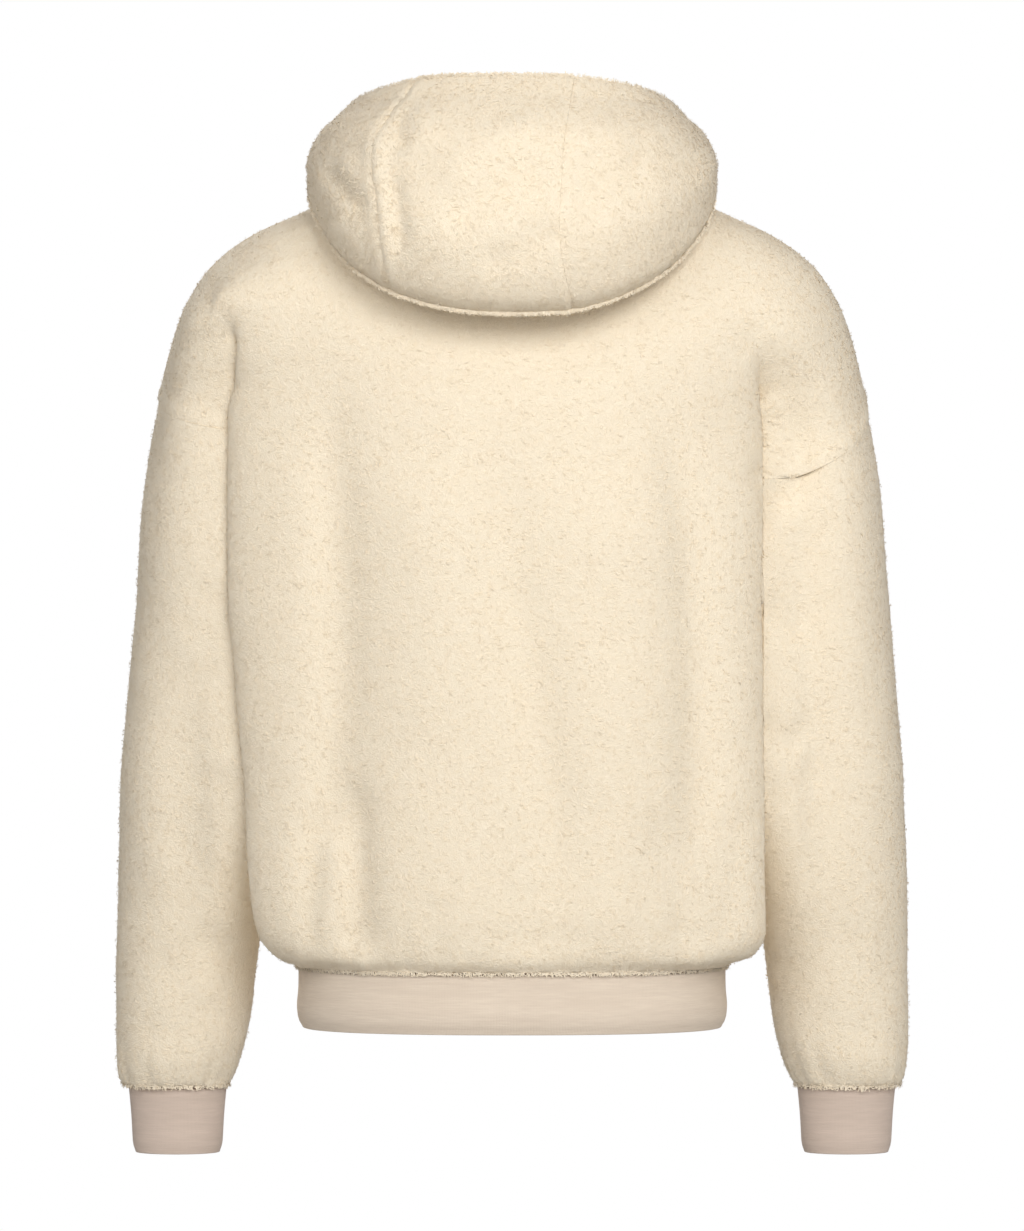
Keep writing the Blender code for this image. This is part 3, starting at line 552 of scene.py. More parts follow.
def half_panel(side, face):
    """Half a body panel: columns run from the centre to the side, rows from the hem band to the top.

    A row starts level with its place on the centre line and ends on the side seam or armhole,
    and over the upper rows it bends up to the neckline and the shoulder seam.
    """
    ring_s, ring_z = armhole(side, face)
    side_steps = np.arange(SIDE_ROWS) / SIDE_ROWS
    side_z = BAND_TOP_Z + (UNDERARM_Z - BAND_TOP_Z) * side_steps ** SIDE_ROW_SPREAD
    right_s = np.concatenate((np.full(SIDE_ROWS, BODY_END), ring_s))
    right_z = np.concatenate((side_z, ring_z))
    rows = len(right_s) - 1
    v = np.arange(rows + 1) / rows
    top = NECK_BACK_Z if face == BACK else NECK_FRONT_Z
    left_z = BAND_TOP_Z + (top - BAND_TOP_Z) * v ** CENTRE_ROW_SPREAD
    turns = np.linspace(0.0, 90.0, NECK_COLUMNS + 1)
    neck_s, neck_z = neckline(side, face, turns)
    seam_z = shoulder_seam(HALF_COLUMNS - NECK_COLUMNS)
    top_s = np.concatenate((neck_s, np.full(len(seam_z) - 1, OUTLINE_END)))
    top_z = np.concatenate((neck_z, seam_z[1:]))
    u = np.arange(HALF_COLUMNS + 1) / HALF_COLUMNS
    level = (1.0 - u) * left_z[:, None] + u * right_z[:, None]
    chord_z = (1.0 - u) * left_z[-1] + u * right_z[-1]
    late = smooth(v, TOP_COLUMN_BLEND, 1.0)[:, None]
    early = smooth(v, TOP_ROW_BLEND, 1.0)[:, None] ** TOP_ROW_POWER
    share = np.interp(u, (0.0, CREASE_COLUMN_START, 1.0), (0.0, CREASE_COLUMN_SHARE, 1.0))
    s = share * right_s[:, None] + late * (top_s - share * OUTLINE_END)
    z = level + early * (top_z - chord_z)
    z[:, -1] = right_z
    points = outline(side, face, s, z)
    if face == BACK:
        share = smooth(s, BODY_END, CREASE_MIDDLE) * (1.0 - smooth(s, *FLUSH_SEAM_FADE))
        points = lay_flush(slide_fold(points, side, s), side, share)
    directions = normal(side, face, s, z)
    directions[:SIDE_ROWS, -1] = seam_direction(side, s[:SIDE_ROWS, -1], z[:SIDE_ROWS, -1])
    directions[-1, NECK_COLUMNS:] = seam_direction(side, s[-1, NECK_COLUMNS:], z[-1, NECK_COLUMNS:])
    ring, ring_directions = armhole_points(side, face)
    points[SIDE_ROWS:, -1] = ring
    directions[SIDE_ROWS:, -1] = ring_directions
    return points, directions


def grid_directions(points, directions, closed=False):
    """Take the directions inside a grid from its own points and leave those on its open edges."""
    rows = np.gradient(points, axis=0)
    if closed:
        columns = (np.roll(points, -1, axis=1) - np.roll(points, 1, axis=1)) / 2.0
    else:
        columns = np.gradient(points, axis=1)
    own = unit(np.cross(columns, rows))
    inside = (slice(1, -1), slice(None)) if closed else (slice(1, -1), slice(1, -1))
    sign = np.sign(np.sum(own[inside] * directions[inside]))
    made = directions.copy()
    made[inside] = own[inside] * sign
    return made


def body_panel(face):
    """Whole front or back, its left half joined to its right half at the centre line."""
    left, left_directions = half_panel(LEFT, face)
    right, right_directions = half_panel(RIGHT, face)
    points = np.concatenate((right[:, :0:-1], left), axis=1)
    directions = np.concatenate((right_directions[:, :0:-1], left_directions), axis=1)
    directions[:, HALF_COLUMNS, 0] = 0.0
    directions[:, HALF_COLUMNS] = unit(directions[:, HALF_COLUMNS])
    return points, grid_directions(points, directions)


def turn_of(face, s, z):
    """Angle round the arm, back first, of a place on the outline, from 0 to a full turn."""
    share = (OUTLINE_END - np.maximum(s, ARM_START)) / (OUTLINE_END - ARM_START)
    angle = arm_angle_at_crease(face, z) * share
    return angle if face == BACK else 2.0 * np.pi - angle


def arm_surface(side, turn, z):
    """Arm or shoulder cap, turn radians round from the outermost line, back first."""
    back = turn <= np.pi
    points = []
    for face, angle in ((BACK, turn), (FRONT, 2.0 * np.pi - turn)):
        s = OUTLINE_END - angle * (OUTLINE_END - ARM_START) / arm_angle_at_crease(face, z)
        part = split(side, z)[..., None]
        cap = shoulder_oval(side, face, np.clip(s, 0.0, OUTLINE_END), z)
        points.append((1.0 - part) * cap + part * arm_oval(side, face, angle, z))
    return np.where(back[..., None], points[0], points[1])


def arm_direction(side, turn, z):
    """Outward direction of the arm's surface."""
    across = arm_surface(side, turn + SMALL_S, z) - arm_surface(side, turn - SMALL_S, z)
    up = arm_surface(side, turn, z + SMALL_Z) - arm_surface(side, turn, z - SMALL_Z)
    return unit(np.cross(across, up)) * side


def sleeve_panel(side):
    """Sleeve: rows run from the armhole to the cuff seam, columns round from the shoulder seam.

    Turn and height are blends of those on the armhole and on the cuff seam, and the first rows
    also move by what parts the arm's surface from the armhole, fading out.
    """
    back, back_directions = armhole_points(side, BACK)
    front, front_directions = armhole_points(side, FRONT)
    ring = np.concatenate((back[::-1], front[1:-1]))
    ring_directions = np.concatenate((back_directions[::-1], front_directions[1:-1]))
    back_s, back_z = armhole(side, BACK)
    front_s, front_z = armhole(side, FRONT)
    start_z = np.concatenate((back_z[::-1], front_z[1:-1]))
    back_turn = turn_of(BACK, back_s, back_z)
    front_turn = turn_of(FRONT, front_s, front_z)
    start_turn = np.concatenate((back_turn[::-1], front_turn[1:-1]))
    end_turn = np.arange(len(ring)) * 2.0 * np.pi / len(ring)
    step = np.linspace(0.0, 1.0, SLEEVE_ROWS + 1)[:, None]
    t = step ** SLEEVE_ROW_SPREAD
    turn = start_turn + (end_turn - start_turn) * smooth(t, 0.0, 1.0)
    z = start_z + (SLEEVE_END_Z - start_z) * t
    plain = slide_fold(outline(side, BACK, back_s, back_z), side, back_s)
    plain[0] = underarm(side)
    plain = np.concatenate((plain[::-1], front[1:-1]))
    points = arm_surface(side, turn, z)
    points = points + (plain - points[0]) * (1.0 - smooth(step, 0.0, SLEEVE_START))[..., None]
    share = smooth(turn, 0.0, FLUSH_SEAM_FADE_TURN) * (1.0 - smooth(turn, *FLUSH_INNER_TURN))
    points = lay_flush(points, side, share)
    points[0] = ring
    directions = arm_direction(side, turn, z)
    directions[0] = ring_directions
    directions[-1, :, 2] = 0.0
    directions[-1] = unit(directions[-1])
    return points, grid_directions(points, directions, closed=True)


def on_neckline(turn, read):
    """What read gives on the body's neckline, turn degrees round from centre back."""
    parts = []
    for side in (LEFT, RIGHT):
        for face in (BACK, FRONT):
            from_centre = np.abs(turn) if face == BACK else 180.0 - np.abs(turn)
            s, z = neckline(side, face, np.clip(from_centre, 0.0, 90.0))
            parts.append(read(side, face, s, z))
    behind = (np.abs(turn) <= 90.0)[..., None]
    left = (turn >= 0.0)[..., None]
    return np.where(left, np.where(behind, parts[0], parts[1]), np.where(behind, parts[2], parts[3]))


def hood_ring(step, turn):
    """Point of the hood: step along from the neck seam, turn degrees round from centre back.

    Near the seam the ring also moves by what parts it from the neckline, fading with the step.
    """
    fade = 1.0 - smooth(step, 0.0, HOOD_NECK_FADE)
    step, turn = np.broadcast_arrays(np.asarray(step, float), np.asarray(turn, float))
    settle = on_neckline(turn, outline) - hood_shape(np.zeros_like(step), turn)
    return hood_shape(step, turn) + fade[..., None] * settle


def hood_shape(step, turn):
    """Rings of the hood from its table, before they settle on the neckline.

    x is the ring's half width times a power of the sine of the turn; y and z go from the values at
    the side to those at the back or front by powers of the cosine.
    """
    size = {name: along(HOOD, name, step, key="step") for name in HOOD if name != "step"}
    angle = np.radians(turn)
    behind = np.abs(turn) <= 90.0
    side = np.where(turn < 0.0, RIGHT, LEFT)
    across = np.abs(np.sin(angle))
    to_centre = np.abs(np.cos(angle))
    x = size["side_x"] * np.where(behind, across ** HOOD_SIDE_POWER, across ** size["front_power"])
    y = {}
    z = {}
    for face, name in FACE_NAMES.items():
        reach = to_centre ** HOOD_DEPTH_POWER[face]
        fall = to_centre ** HOOD_HEIGHT_POWER[face]
        y[face] = size["side_y"] + (size[name + "_y"] - size["side_y"]) * reach
        z[face] = size["side_z"] + (size[name + "_z"] - size["side_z"]) * fall
    return stack(side * x, np.where(behind, y[BACK], y[FRONT]), np.where(behind, z[BACK], z[FRONT]))


def hood_direction(step, turn):
    """Outward direction of the hood's cloth."""
    low = np.maximum(step - SMALL_S, 0.0)
    high = np.minimum(step + SMALL_S, 1.0)
    away = hood_ring(high, turn) - hood_ring(low, turn)
    across = hood_ring(step, turn + SMALL_TURN) - hood_ring(step, turn - SMALL_TURN)
    return unit(np.cross(away, across))


def hood_front_edge(step):
    """Turn at which a side panel of the hood ends, half the front gap from the centre line."""
    share = HOOD_FRONT_GAP / 2.0 / along(HOOD, "side_x", step, key="step")
    return 180.0 - np.degrees(np.arcsin(share ** (1.0 / along(HOOD, "front_power", step, key="step"))))


def hood_panel(first, last, columns):
    """Hood panel between two edges given as turns: rows run from the neck seam to the face edge."""
    steps = np.linspace(0.0, 1.0, HOOD_ROWS + 1)
    share = np.linspace(0.0, 1.0, columns + 1)
    turn = first(steps)[:, None] + (last(steps) - first(steps))[:, None] * share
    step = np.broadcast_to(steps[:, None], turn.shape)
    points = hood_ring(step, turn)
    directions = hood_direction(step, turn)
    facing = on_neckline(turn[0], normal)
    up = np.array((0.0, 0.0, 1.0))
    rise = unit(up - facing * np.sum(facing * up, axis=-1, keepdims=True))
    points[0] = points[0] + rise * NECK_GAP
    directions[0] = facing
    return points, grid_directions(points, directions)


def strip_left(step):
    """Turn of the seam between the hood's centre strip and its left panel."""
    return along(STRIP, "left", step, key="step")


def strip_right(step):
    """Turn of the seam between the hood's centre strip and its right panel."""
    return -along(STRIP, "right", step, key="step")


def hood_front_right(step):
    """Turn of the right panel's front edge."""
    return -hood_front_edge(step)


# Folds and seams: heights above the plain surfaces

LATTICE = 24            # random values along each side of the noise's lattice
LUMPS_WIDE = (74.0, 1.3)
LUMPS_SMALL = (27.0, 0.45)
LUMPS_SHIFT = (0.0, 0.0, 500.0)
GATHER_SIZES = (13.0, 7.0)
ARMHOLE_RIDGE = (1.4, 4.0, 3.6)
SLEEVE_RIDGE = (0.7, 3.0)
SLEEVE_ROUND = 320.0    # nominal way round a sleeve, by which its gathers are spaced
SLEEVE_SEAM_PLAIN = 12.0
HOOD_HEM = 18.0
HOOD_HEM_SWELL = (0.8, 5.0)
HOOD_HEM_GROOVE = (1.5, 2.0)

def reach_from(points, axis, end):
    """Distance over the cloth of every grid point from one edge, added up along its grid line."""
    steps = np.linalg.norm(np.diff(points, axis=axis), axis=-1)
    zero = np.zeros_like(np.take(steps, [0], axis=axis))
    if end == 0:
        return np.concatenate((zero, np.cumsum(steps, axis=axis)), axis=axis)
    back = np.flip(np.cumsum(np.flip(steps, axis), axis=axis), axis)
    return np.concatenate((back, zero), axis=axis)


def soft_noise(points, size, seed):
    """Smooth noise from -1 to 1: random values on a lattice of that size, blended between its corners."""
    values = np.random.RandomState(seed).uniform(-1.0, 1.0, (LATTICE, LATTICE, LATTICE))
    place = points / size
    cell = np.floor(place).astype(int)
    t = place - cell
    t = t * t * (3.0 - 2.0 * t)
    total = np.zeros(points.shape[:-1])
    for corner in np.ndindex(2, 2, 2):
        index = (cell + corner) % LATTICE
        weight = np.prod(np.where(np.array(corner) == 1, t, 1.0 - t), axis=-1)
        total += weight * values[index[..., 0], index[..., 1], index[..., 2]]
    return total


def line_fold(points, directions, path, width, height):
    """Fold along a line seen from behind: a bell of the distance from it, faded at its two ends."""
    flat = points[..., (0, 2)]
    path = np.asarray(path, float)
    lengths = np.linalg.norm(np.diff(path, axis=0), axis=1)
    total = lengths.sum()
    best = np.full(flat.shape[:-1], 1e9)
    place = np.zeros(flat.shape[:-1])
    passed = 0.0
    for start, end, length in zip(path[:-1], path[1:], lengths):
        t = np.clip(((flat - start) @ (end - start)) / length ** 2, 0.0, 1.0)
        away = np.linalg.norm(flat - start - t[..., None] * (end - start), axis=-1)
        nearer = away < best
        best = np.where(nearer, away, best)
        place = np.where(nearer, (passed + t * length) / total, place)
        passed += length
    ends = smooth(place, 0.0, 0.25) * smooth(1.0 - place, 0.0, 0.25)
    seen = smooth(directions[..., 1], 0.0, 0.3)
    return height * bell(best, width) * ends * seen


def seam_height(distance, ridge=0.9, groove=0.8):
    """Height beside a sewn seam: the cloth dips into the stitches and swells beside them."""
    return ridge * bell(distance - 5.5, 4.2) - groove * bell(distance, 1.8)


def gathers(place, distance, seed, reach=34.0, height=1.5):
    """Gathers beside a knitted edge: ripples along it that fade out with the distance from it."""
    line = stack(place, 0.0 * place, 0.0 * place)
    wide, narrow = GATHER_SIZES
    ripple = soft_noise(line, wide, seed) + 0.6 * soft_noise(line, narrow, seed + 1)
    return height * ripple * np.exp(-distance / reach) * smooth(distance, 0.0, 6.0)


def unevenness(points, seed):
    """Soft lumps of worn fleece: wide ones and smaller ones."""
    wide, wide_height = LUMPS_WIDE
    small, small_height = LUMPS_SMALL
    lumps = wide_height * soft_noise(points + LUMPS_SHIFT, wide, seed)
    return lumps + small_height * soft_noise(points, small, seed + 5)


# Folds of the back as lines of (x, z) points, half width and height
BACK_LINES = (
    (((148, -150), (140, -270), (136, -400), (142, -500), (150, -630)), 14, -6.5),
    (((8, -200), (2, -330), (-18, -420), (-30, -500), (-36, -630)), 15, -6),
    (((-98, -145), (-128, -230), (-141, -300), (-147, -420), (-145, -600)), 13, -6),
    (((62, -230), (66, -350), (60, -470)), 26, 3),
    (((-78, -240), (-84, -400), (-88, -560)), 24, 3),
    (((140, -520), (141, -580), (144, -634)), 8, 4.4),
    (((122, -480), (121, -570), (120, -634)), 9, -5),
    (((158, -500), (160, -570), (166, -625)), 8, -2.4),
    (((-14, -560), (-12, -634)), 8, -1.6),
    (((62, -575), (60, -634)), 9, -1.4),
    (((-106, -500), (-128, -560), (-138, -632)), 9, -2.6),
    (((-110, -520), (-104, -632)), 10, -1.6),
    (((-178, -500), (-172, -625)), 8, -2),
    (((-188, -236), (-204, -258), (-222, -268)), 9, -3),
    (((-150, -96), (-180, -128), (-200, -150)), 16, -2.4),
)
SLEEVE_LINES = {
    LEFT: (
        (((228, -330), (240, -360), (262, -380)), 16, -2),
        (((226, -470), (246, -520), (276, -560)), 18, -2.4),
        (((232, -600), (256, -640), (290, -656)), 14, -2.2),
        (((240, -660), (262, -690), (300, -700)), 12, -1.8),
        (((292, -420), (284, -520), (290, -600)), 14, 1.8),
    ),
    RIGHT: (
        (((-188, -300), (-206, -270), (-226, -246), (-250, -230)), 7.5, -5.5),
        (((-214, -300), (-232, -276), (-252, -262)), 9, 2),
        (((-196, -345), (-214, -362), (-236, -372)), 10, -2.6),
        (((-192, -440), (-212, -456), (-236, -462)), 10, -4.2),
        (((-196, -505), (-222, -486), (-256, -480)), 13, -2),
        (((-226, -590), (-256, -615), (-292, -622)), 14, -2),
        (((-236, -668), (-262, -690), (-300, -696)), 12, -1.8),
    ),
}
HOOD_LINES = (
    (((103, 20), (105, 2), (103, -14), (98, -30)), 6, 3.4),
    (((94, -12), (90, -36), (86, -60), (88, -84)), 5, -3.6),
    (((98, -30), (98, -60), (98, -84), (97, -104)), 6, 1.6),
    (((150, -2), (138, -18), (124, -34), (114, -52)), 6.5, -4.4),
    (((136, 2), (122, -18), (112, -34)), 7, 2.4),
    (((142, -44), (124, -64), (108, -84)), 11, 2.8),
    (((88, 34), (90, 16), (80, 2)), 7, -4),
    (((76, 36), (68, 22), (66, 8)), 6, 1.8),
    (((62, -34), (36, -8), (4, 10), (-34, 26)), 10, 4.2),
    (((58, -62), (16, -34), (-20, -16), (-36, -6)), 9, -5),
    (((30, -90), (0, -82), (-26, -64), (-34, -50)), 9, -3.6),
    (((-40, 4), (-70, 10), (-100, 6)), 12, 2.6),
    (((-44, -16), (-80, -18), (-112, -12)), 12, -2.4),
    (((-60, -52), (-96, -58), (-128, -42)), 14, 1.6),
    (((-150, 14), (-156, -10), (-152, -34)), 9, 3),
)


def body_height(points, directions, face):
    """Heights on a body panel: gathers over the hem band, seams, folds and soft lumps."""
    hem = reach_from(points, 0, 0)
    height = unevenness(points, 11 + face) * smooth(hem, 0.0, 30.0)
    height += gathers(points[..., 0], hem, 30 + face)
    top = reach_from(points, 0, -1)
    height += seam_height(top)
    armholes = np.minimum(reach_from(points, 1, 0), reach_from(points, 1, -1))
    ridge, place, width = ARMHOLE_RIDGE
    height[SIDE_ROWS:] += ridge * bell(armholes[SIDE_ROWS:] - place, width)
    if face == BACK:
        for path, width, depth in BACK_LINES:
            height += line_fold(points, directions, path, width, depth)
    return height


def sleeve_height(points, directions, side):
    """Heights on a sleeve: the armhole seam, gathers over the cuff, folds and soft lumps."""
    start = reach_from(points, 0, 0)
    end = reach_from(points, 0, -1)
    height = unevenness(points, 41 + side) * smooth(end, 0.0, 25.0)
    ridge, width = SLEEVE_RIDGE
    height += ridge * bell(start, width)
    around = np.broadcast_to(np.arange(points.shape[1]) * SLEEVE_ROUND / points.shape[1], end.shape)
    wrap = smooth(around, 0.0, SLEEVE_SEAM_PLAIN)
    wrap = wrap * smooth(SLEEVE_ROUND - around, 0.0, SLEEVE_SEAM_PLAIN)
    height += gathers(around, end, 50 + side, 26.0, 1.6) * wrap
    for path, width, depth in SLEEVE_LINES[side]:
        height += line_fold(points, directions, path, width, depth)
    return height


def hood_height(points, directions):
    """Heights on a hood panel: strip seams, the stitched hem at the face edge, folds and lumps."""
    first = reach_from(points, 1, 0)
    last = reach_from(points, 1, -1)
    neck = reach_from(points, 0, 0)
    face_edge = reach_from(points, 0, -1)
    height = unevenness(points, 71) * smooth(neck, 0.0, 20.0)
    height += seam_height(np.minimum(first, last), 1.0)
    height += seam_height(neck)
    swell, swell_width = HOOD_HEM_SWELL
    groove, groove_width = HOOD_HEM_GROOVE
    hem = swell * bell(face_edge - HOOD_HEM / 2.0, swell_width)
    height += hem - groove * bell(face_edge - HOOD_HEM, groove_width)
    for path, width, depth in HOOD_LINES:
        height += line_fold(points, directions, path, width, depth)
    return height


# Meshes

SHARP_ANGLE = 60.0      # cut edges of the cloth are sharp, its folds are not


def pull_in_rows(points, directions):
    """Draw the first and last row of a grid back along the cloth by half the seam gap."""
    for end, inner in ((0, 1), (-1, -2)):
        edge = points[end]
        facing = directions[end]
        run = unit(np.gradient(edge, axis=0))
        way = points[inner] - edge
        way = way - facing * np.sum(way * facing, axis=-1, keepdims=True)
        way = way - run * np.sum(way * run, axis=-1, keepdims=True)
        points[end] = edge + unit(way) * SEAM_GAP / 2.0


def pull_in_columns(points, directions):
    """Draw the first and last column back in the same way."""
    pull_in_rows(points.swapaxes(0, 1), directions.swapaxes(0, 1))


def quads_of(rows, columns, closed):
    """Corner numbers of the quads of a grid of rows by columns, closed round its columns or not."""
    steps = columns if closed else columns - 1
    i, j = np.meshgrid(np.arange(rows - 1), np.arange(steps), indexing="ij")
    k = (j + 1) % columns
    corners = (i * columns + j, i * columns + k, (i + 1) * columns + k, (i + 1) * columns + j)
    return np.stack(corners, axis=-1).reshape(-1, 4)


def make_mesh(name, vertices, faces, materials, marks=None, smooth_faces=True):
    """Mesh object from an array of points and an array of faces of one size."""
    mesh = bpy.data.meshes.new(name)
    corners = faces.shape[1]
    mesh.vertices.add(len(vertices))
    mesh.vertices.foreach_set("co", (vertices * MM).astype(np.float32).ravel())
    mesh.loops.add(faces.size)
    mesh.loops.foreach_set("vertex_index", faces.astype(np.int32).ravel())
    mesh.polygons.add(len(faces))
    mesh.polygons.foreach_set("loop_start", np.arange(len(faces), dtype=np.int32) * corners)
    mesh.polygons.foreach_set("use_smooth", np.full(len(faces), smooth_faces))
    if marks is not None:
        mesh.polygons.foreach_set("material_index", marks.astype(np.int32))
    mesh.update(calc_edges=True)
    for material in materials:
        mesh.materials.append(material)
    made = bpy.data.objects.new(name, mesh)
    bpy.context.scene.collection.objects.link(made)
    return made


def signed_volume(vertices, quads):
    """Volume inside a closed mesh of quads, negative when it is inside out."""
    a, b, c, d = vertices[quads].transpose(1, 0, 2)
    return np.sum(np.cross(a, b) * c) + np.sum(np.cross(a, c) * d)


def cloth_wall(name, points, directions, height, stitch, materials, closed=False):
    """Closed wall of fleece: the outer surface with its heights, the inside, and the cut edges.

    The inside follows the outer surface where that lies low and is plain where it stands high.
    Every point keeps its distance over the cloth to the nearest stitched line, for the material's painted
    seam shadow.
    """
    rows, columns = points.shape[:2]
    count = rows * columns
    outer = points + directions * height[..., None]
    inner = points + directions * (np.minimum(height, 0.0) - FLEECE)[..., None]
    vertices = np.concatenate((outer.reshape(-1, 3), inner.reshape(-1, 3)))
    face = quads_of(rows, columns, closed)
    first = np.arange(columns if closed else columns - 1)
    second = (first + 1) % columns
    last_row = (rows - 1) * columns
    edges = [(second, first), (last_row + first, last_row + second)]
    if not closed:
        low = np.arange(rows - 1) * columns
        high = low + columns
        edges += [(low, high), (high + columns - 1, low + columns - 1)]
    cuts = [np.stack((a, b, b + count, a + count), axis=-1) for a, b in edges]
    faces = np.concatenate((face, (face + count)[:, ::-1], *cuts))
    if signed_volume(vertices, faces) < 0.0:
        faces = faces[:, ::-1]
    marks = np.zeros(len(faces), int)
    marks[len(face):2 * len(face)] = 1
    made = make_mesh(name, vertices, faces, materials, marks)
    made.data.set_sharp_from_angle(angle=np.radians(SHARP_ANGLE))
    away = made.data.attributes.new("stitch", "FLOAT", "POINT")
    away.data.foreach_set("value", np.tile(stitch.ravel() * MM, 2).astype(np.float32))
    return made, outer


# Wisps of pile: ranges in millimetres and degrees, how they lie, and where the hood's fold is fringed
WISP_LENGTH = (2.6, 5.4)
WISP_WIDTH = (0.45, 0.9)
WISP_LOW_RISE = (0.2, 0.7)
WISP_HIGH_RISE = (0.9, 1.9)
WISP_HIGH_SHARE = 0.13
WISP_CURL = (15.0, 110.0)
WISP_ROOT = 0.4
WISP_TILT = 0.12
WISP_STEPS = ((0.0, 0.8), (0.6, 1.0), (1.2, 0.5))
WISP_CORNERS = ((0, 2, 1), (1, 2, 4), (1, 4, 3), (3, 4, 5))
WISP_LIE = (1.0, 1.0, 1.7)
EDGE_WISPS_BACK = 0.35
EDGE_WISPS_STRAY = 0.6
FOLD_WISPS_STRAY = 0.35
FOLD_WISPS_Y = 40.0
FOLD_WISPS_LEAN = (-0.2, 1.6, 1.0)


def scatter(surface, directions, count, random, closed):
    """Roots of pile spread evenly over a surface by area, their outward ways, and the way each lies.

    Most wisps lie more across the garment than along it.
    """
    rows, columns = surface.shape[:2]
    quads = quads_of(rows, columns, closed)
    flat = surface.reshape(-1, 3)
    facing = directions.reshape(-1, 3)
    a, b, c, d = flat[quads].transpose(1, 0, 2)
    area = np.linalg.norm(np.cross(c - a, d - b), axis=1) / 2.0
    pick = np.searchsorted(np.cumsum(area) / area.sum(), random.uniform(0.0, 1.0, count))
    pick = quads[np.minimum(pick, len(quads) - 1)]
    u, v = random.uniform(0.0, 1.0, (2, count, 1))
    weights = ((1 - u) * (1 - v), u * (1 - v), u * v, (1 - u) * v)
    root = sum(w * flat[pick[:, i]] for i, w in enumerate(weights))
    up = unit(sum(w * facing[pick[:, i]] for i, w in enumerate(weights)))
    ahead = unit(np.cross(up, random.normal(size=(count, 3)) * WISP_LIE))
    return root, up, ahead


def edge_roots(line, inside, directions, count, random):
    """Roots of pile along a cut edge, the wisps reaching out over it."""
    place = random.uniform(0.0, len(line) - 1.001, count)
    i = place.astype(int)
    t = (place - i)[:, None]
    back = random.uniform(0.0, EDGE_WISPS_BACK, (count, 1))
    edge = line[i] * (1 - t) + line[i + 1] * t
    near = inside[i] * (1 - t) + inside[i + 1] * t
    up = unit(directions[i] * (1 - t) + directions[i + 1] * t)
    ahead = unit(unit(edge - near) + EDGE_WISPS_STRAY * random.normal(size=(count, 3)))
    ahead = unit(ahead - up * np.sum(ahead * up, axis=-1, keepdims=True))
    return edge + (near - edge) * back, up, ahead


def fold_roots(line, directions, count, random):
    """Roots of pile along the hood's lower fold behind the neck, the wisps hanging down over it."""
    i = random.randint(0, len(line) - 1, count)
    i = i[line[i, 1] > FOLD_WISPS_Y]
    t = random.uniform(0.0, 1.0, (len(i), 1))
    root = line[i] * (1 - t) + line[i + 1] * t
    up = unit(directions[i] * (1 - t) + directions[i + 1] * t + FOLD_WISPS_LEAN)
    ahead = unit((0.0, 0.0, -1.0) + FOLD_WISPS_STRAY * random.normal(size=(len(i), 3)))
    return root, up, ahead


def wisps(name, root, up, ahead, random, material):
    """Short curled wisps of pile, each a ribbon of four triangles that rises, bends and comes to a point.

    A wisp turns along its length, and its normals lean towards those of the cloth, so it shades
    softly. Its tone runs from 0 to 1 at random.
    """
    count = len(root)
    side = np.cross(up, ahead)
    length = random.uniform(*WISP_LENGTH, (count, 1))
    width = random.uniform(*WISP_WIDTH, (count, 1))
    high = random.uniform(0.0, 1.0, (count, 1)) < WISP_HIGH_SHARE
    low_rise = random.uniform(*WISP_LOW_RISE, (count, 1))
    rise = np.where(high, random.uniform(*WISP_HIGH_RISE, (count, 1)), low_rise)
    curl = np.radians(random.uniform(*WISP_CURL, (count, 1))) * random.choice((-1.0, 1.0), (count, 1))
    centre = root - up * WISP_ROOT
    line = [centre]
    for share, height in WISP_STEPS:
        way = ahead * np.cos(curl * share) + side * np.sin(curl * share)
        centre = centre + way * length / len(WISP_STEPS)
        line.append(centre + up * (rise * height + WISP_ROOT))
    across = [unit(np.cross(line[i + 1] - line[i - 1], up)) * width / 2.0 for i in (1, 2)]
    points = np.stack((
        line[0],
        line[1] - across[0],
        line[1] + across[0],
        line[2] - across[1],
        line[2] + across[1],
        line[3],
    ), axis=1)
    start = np.arange(count)[:, None] * 6
    triangles = np.concatenate([start + corner for corner in WISP_CORNERS], axis=1).reshape(-1, 3)
    made = make_mesh(name, points.reshape(-1, 3), triangles, [material])
    tilt = unit(up + WISP_TILT * random.normal(size=(count, 3)))
    made.data.normals_split_custom_set_from_vertices(np.repeat(tilt, 6, axis=0))
    tone = made.data.attributes.new("tone", "FLOAT", "POINT")
    tone.data.foreach_set("value", np.repeat(random.uniform(0.0, 1.0, count), 6).astype(np.float32))
    return made


def profile_wall(name, ring, directions, profile, material):
    """Closed wall of knit: a closed profile of (offset, height) pairs carried round a level ring.

    A point lies its offset from the ring along the ring's direction, at its height. The UV map
    holds the way round the ring and the way along the profile, in metres.
    """
    rows = np.array(profile)
    points = ring[None] + directions[None] * rows[:, 0, None, None]
    points[..., 2] = rows[:, 1, None]
    count = ring.shape[0]
    quads = quads_of(len(rows) + 1, count, True) % (len(rows) * count)
    vertices = points.reshape(-1, 3)
    inside_out = signed_volume(vertices, quads) < 0.0
    if inside_out:
        quads = quads[:, ::-1]
    made = make_mesh(name, vertices, quads, [material])
    around = way_along(ring)
    up = way_along(rows)
    i, j = np.meshgrid(np.arange(len(rows)), np.arange(count), indexing="ij")
    corners = ((i, j), (i, j + 1), (i + 1, j + 1), (i + 1, j))
    uv = np.stack([np.stack((around[b], up[a]), axis=-1) for a, b in corners], axis=2).reshape(-1, 4, 2)
    if inside_out:
        uv = uv[:, ::-1]
    layer = made.data.uv_layers.new(name="knit")
    layer.uv.foreach_set("vector", (uv * MM).astype(np.float32).ravel())
    return made


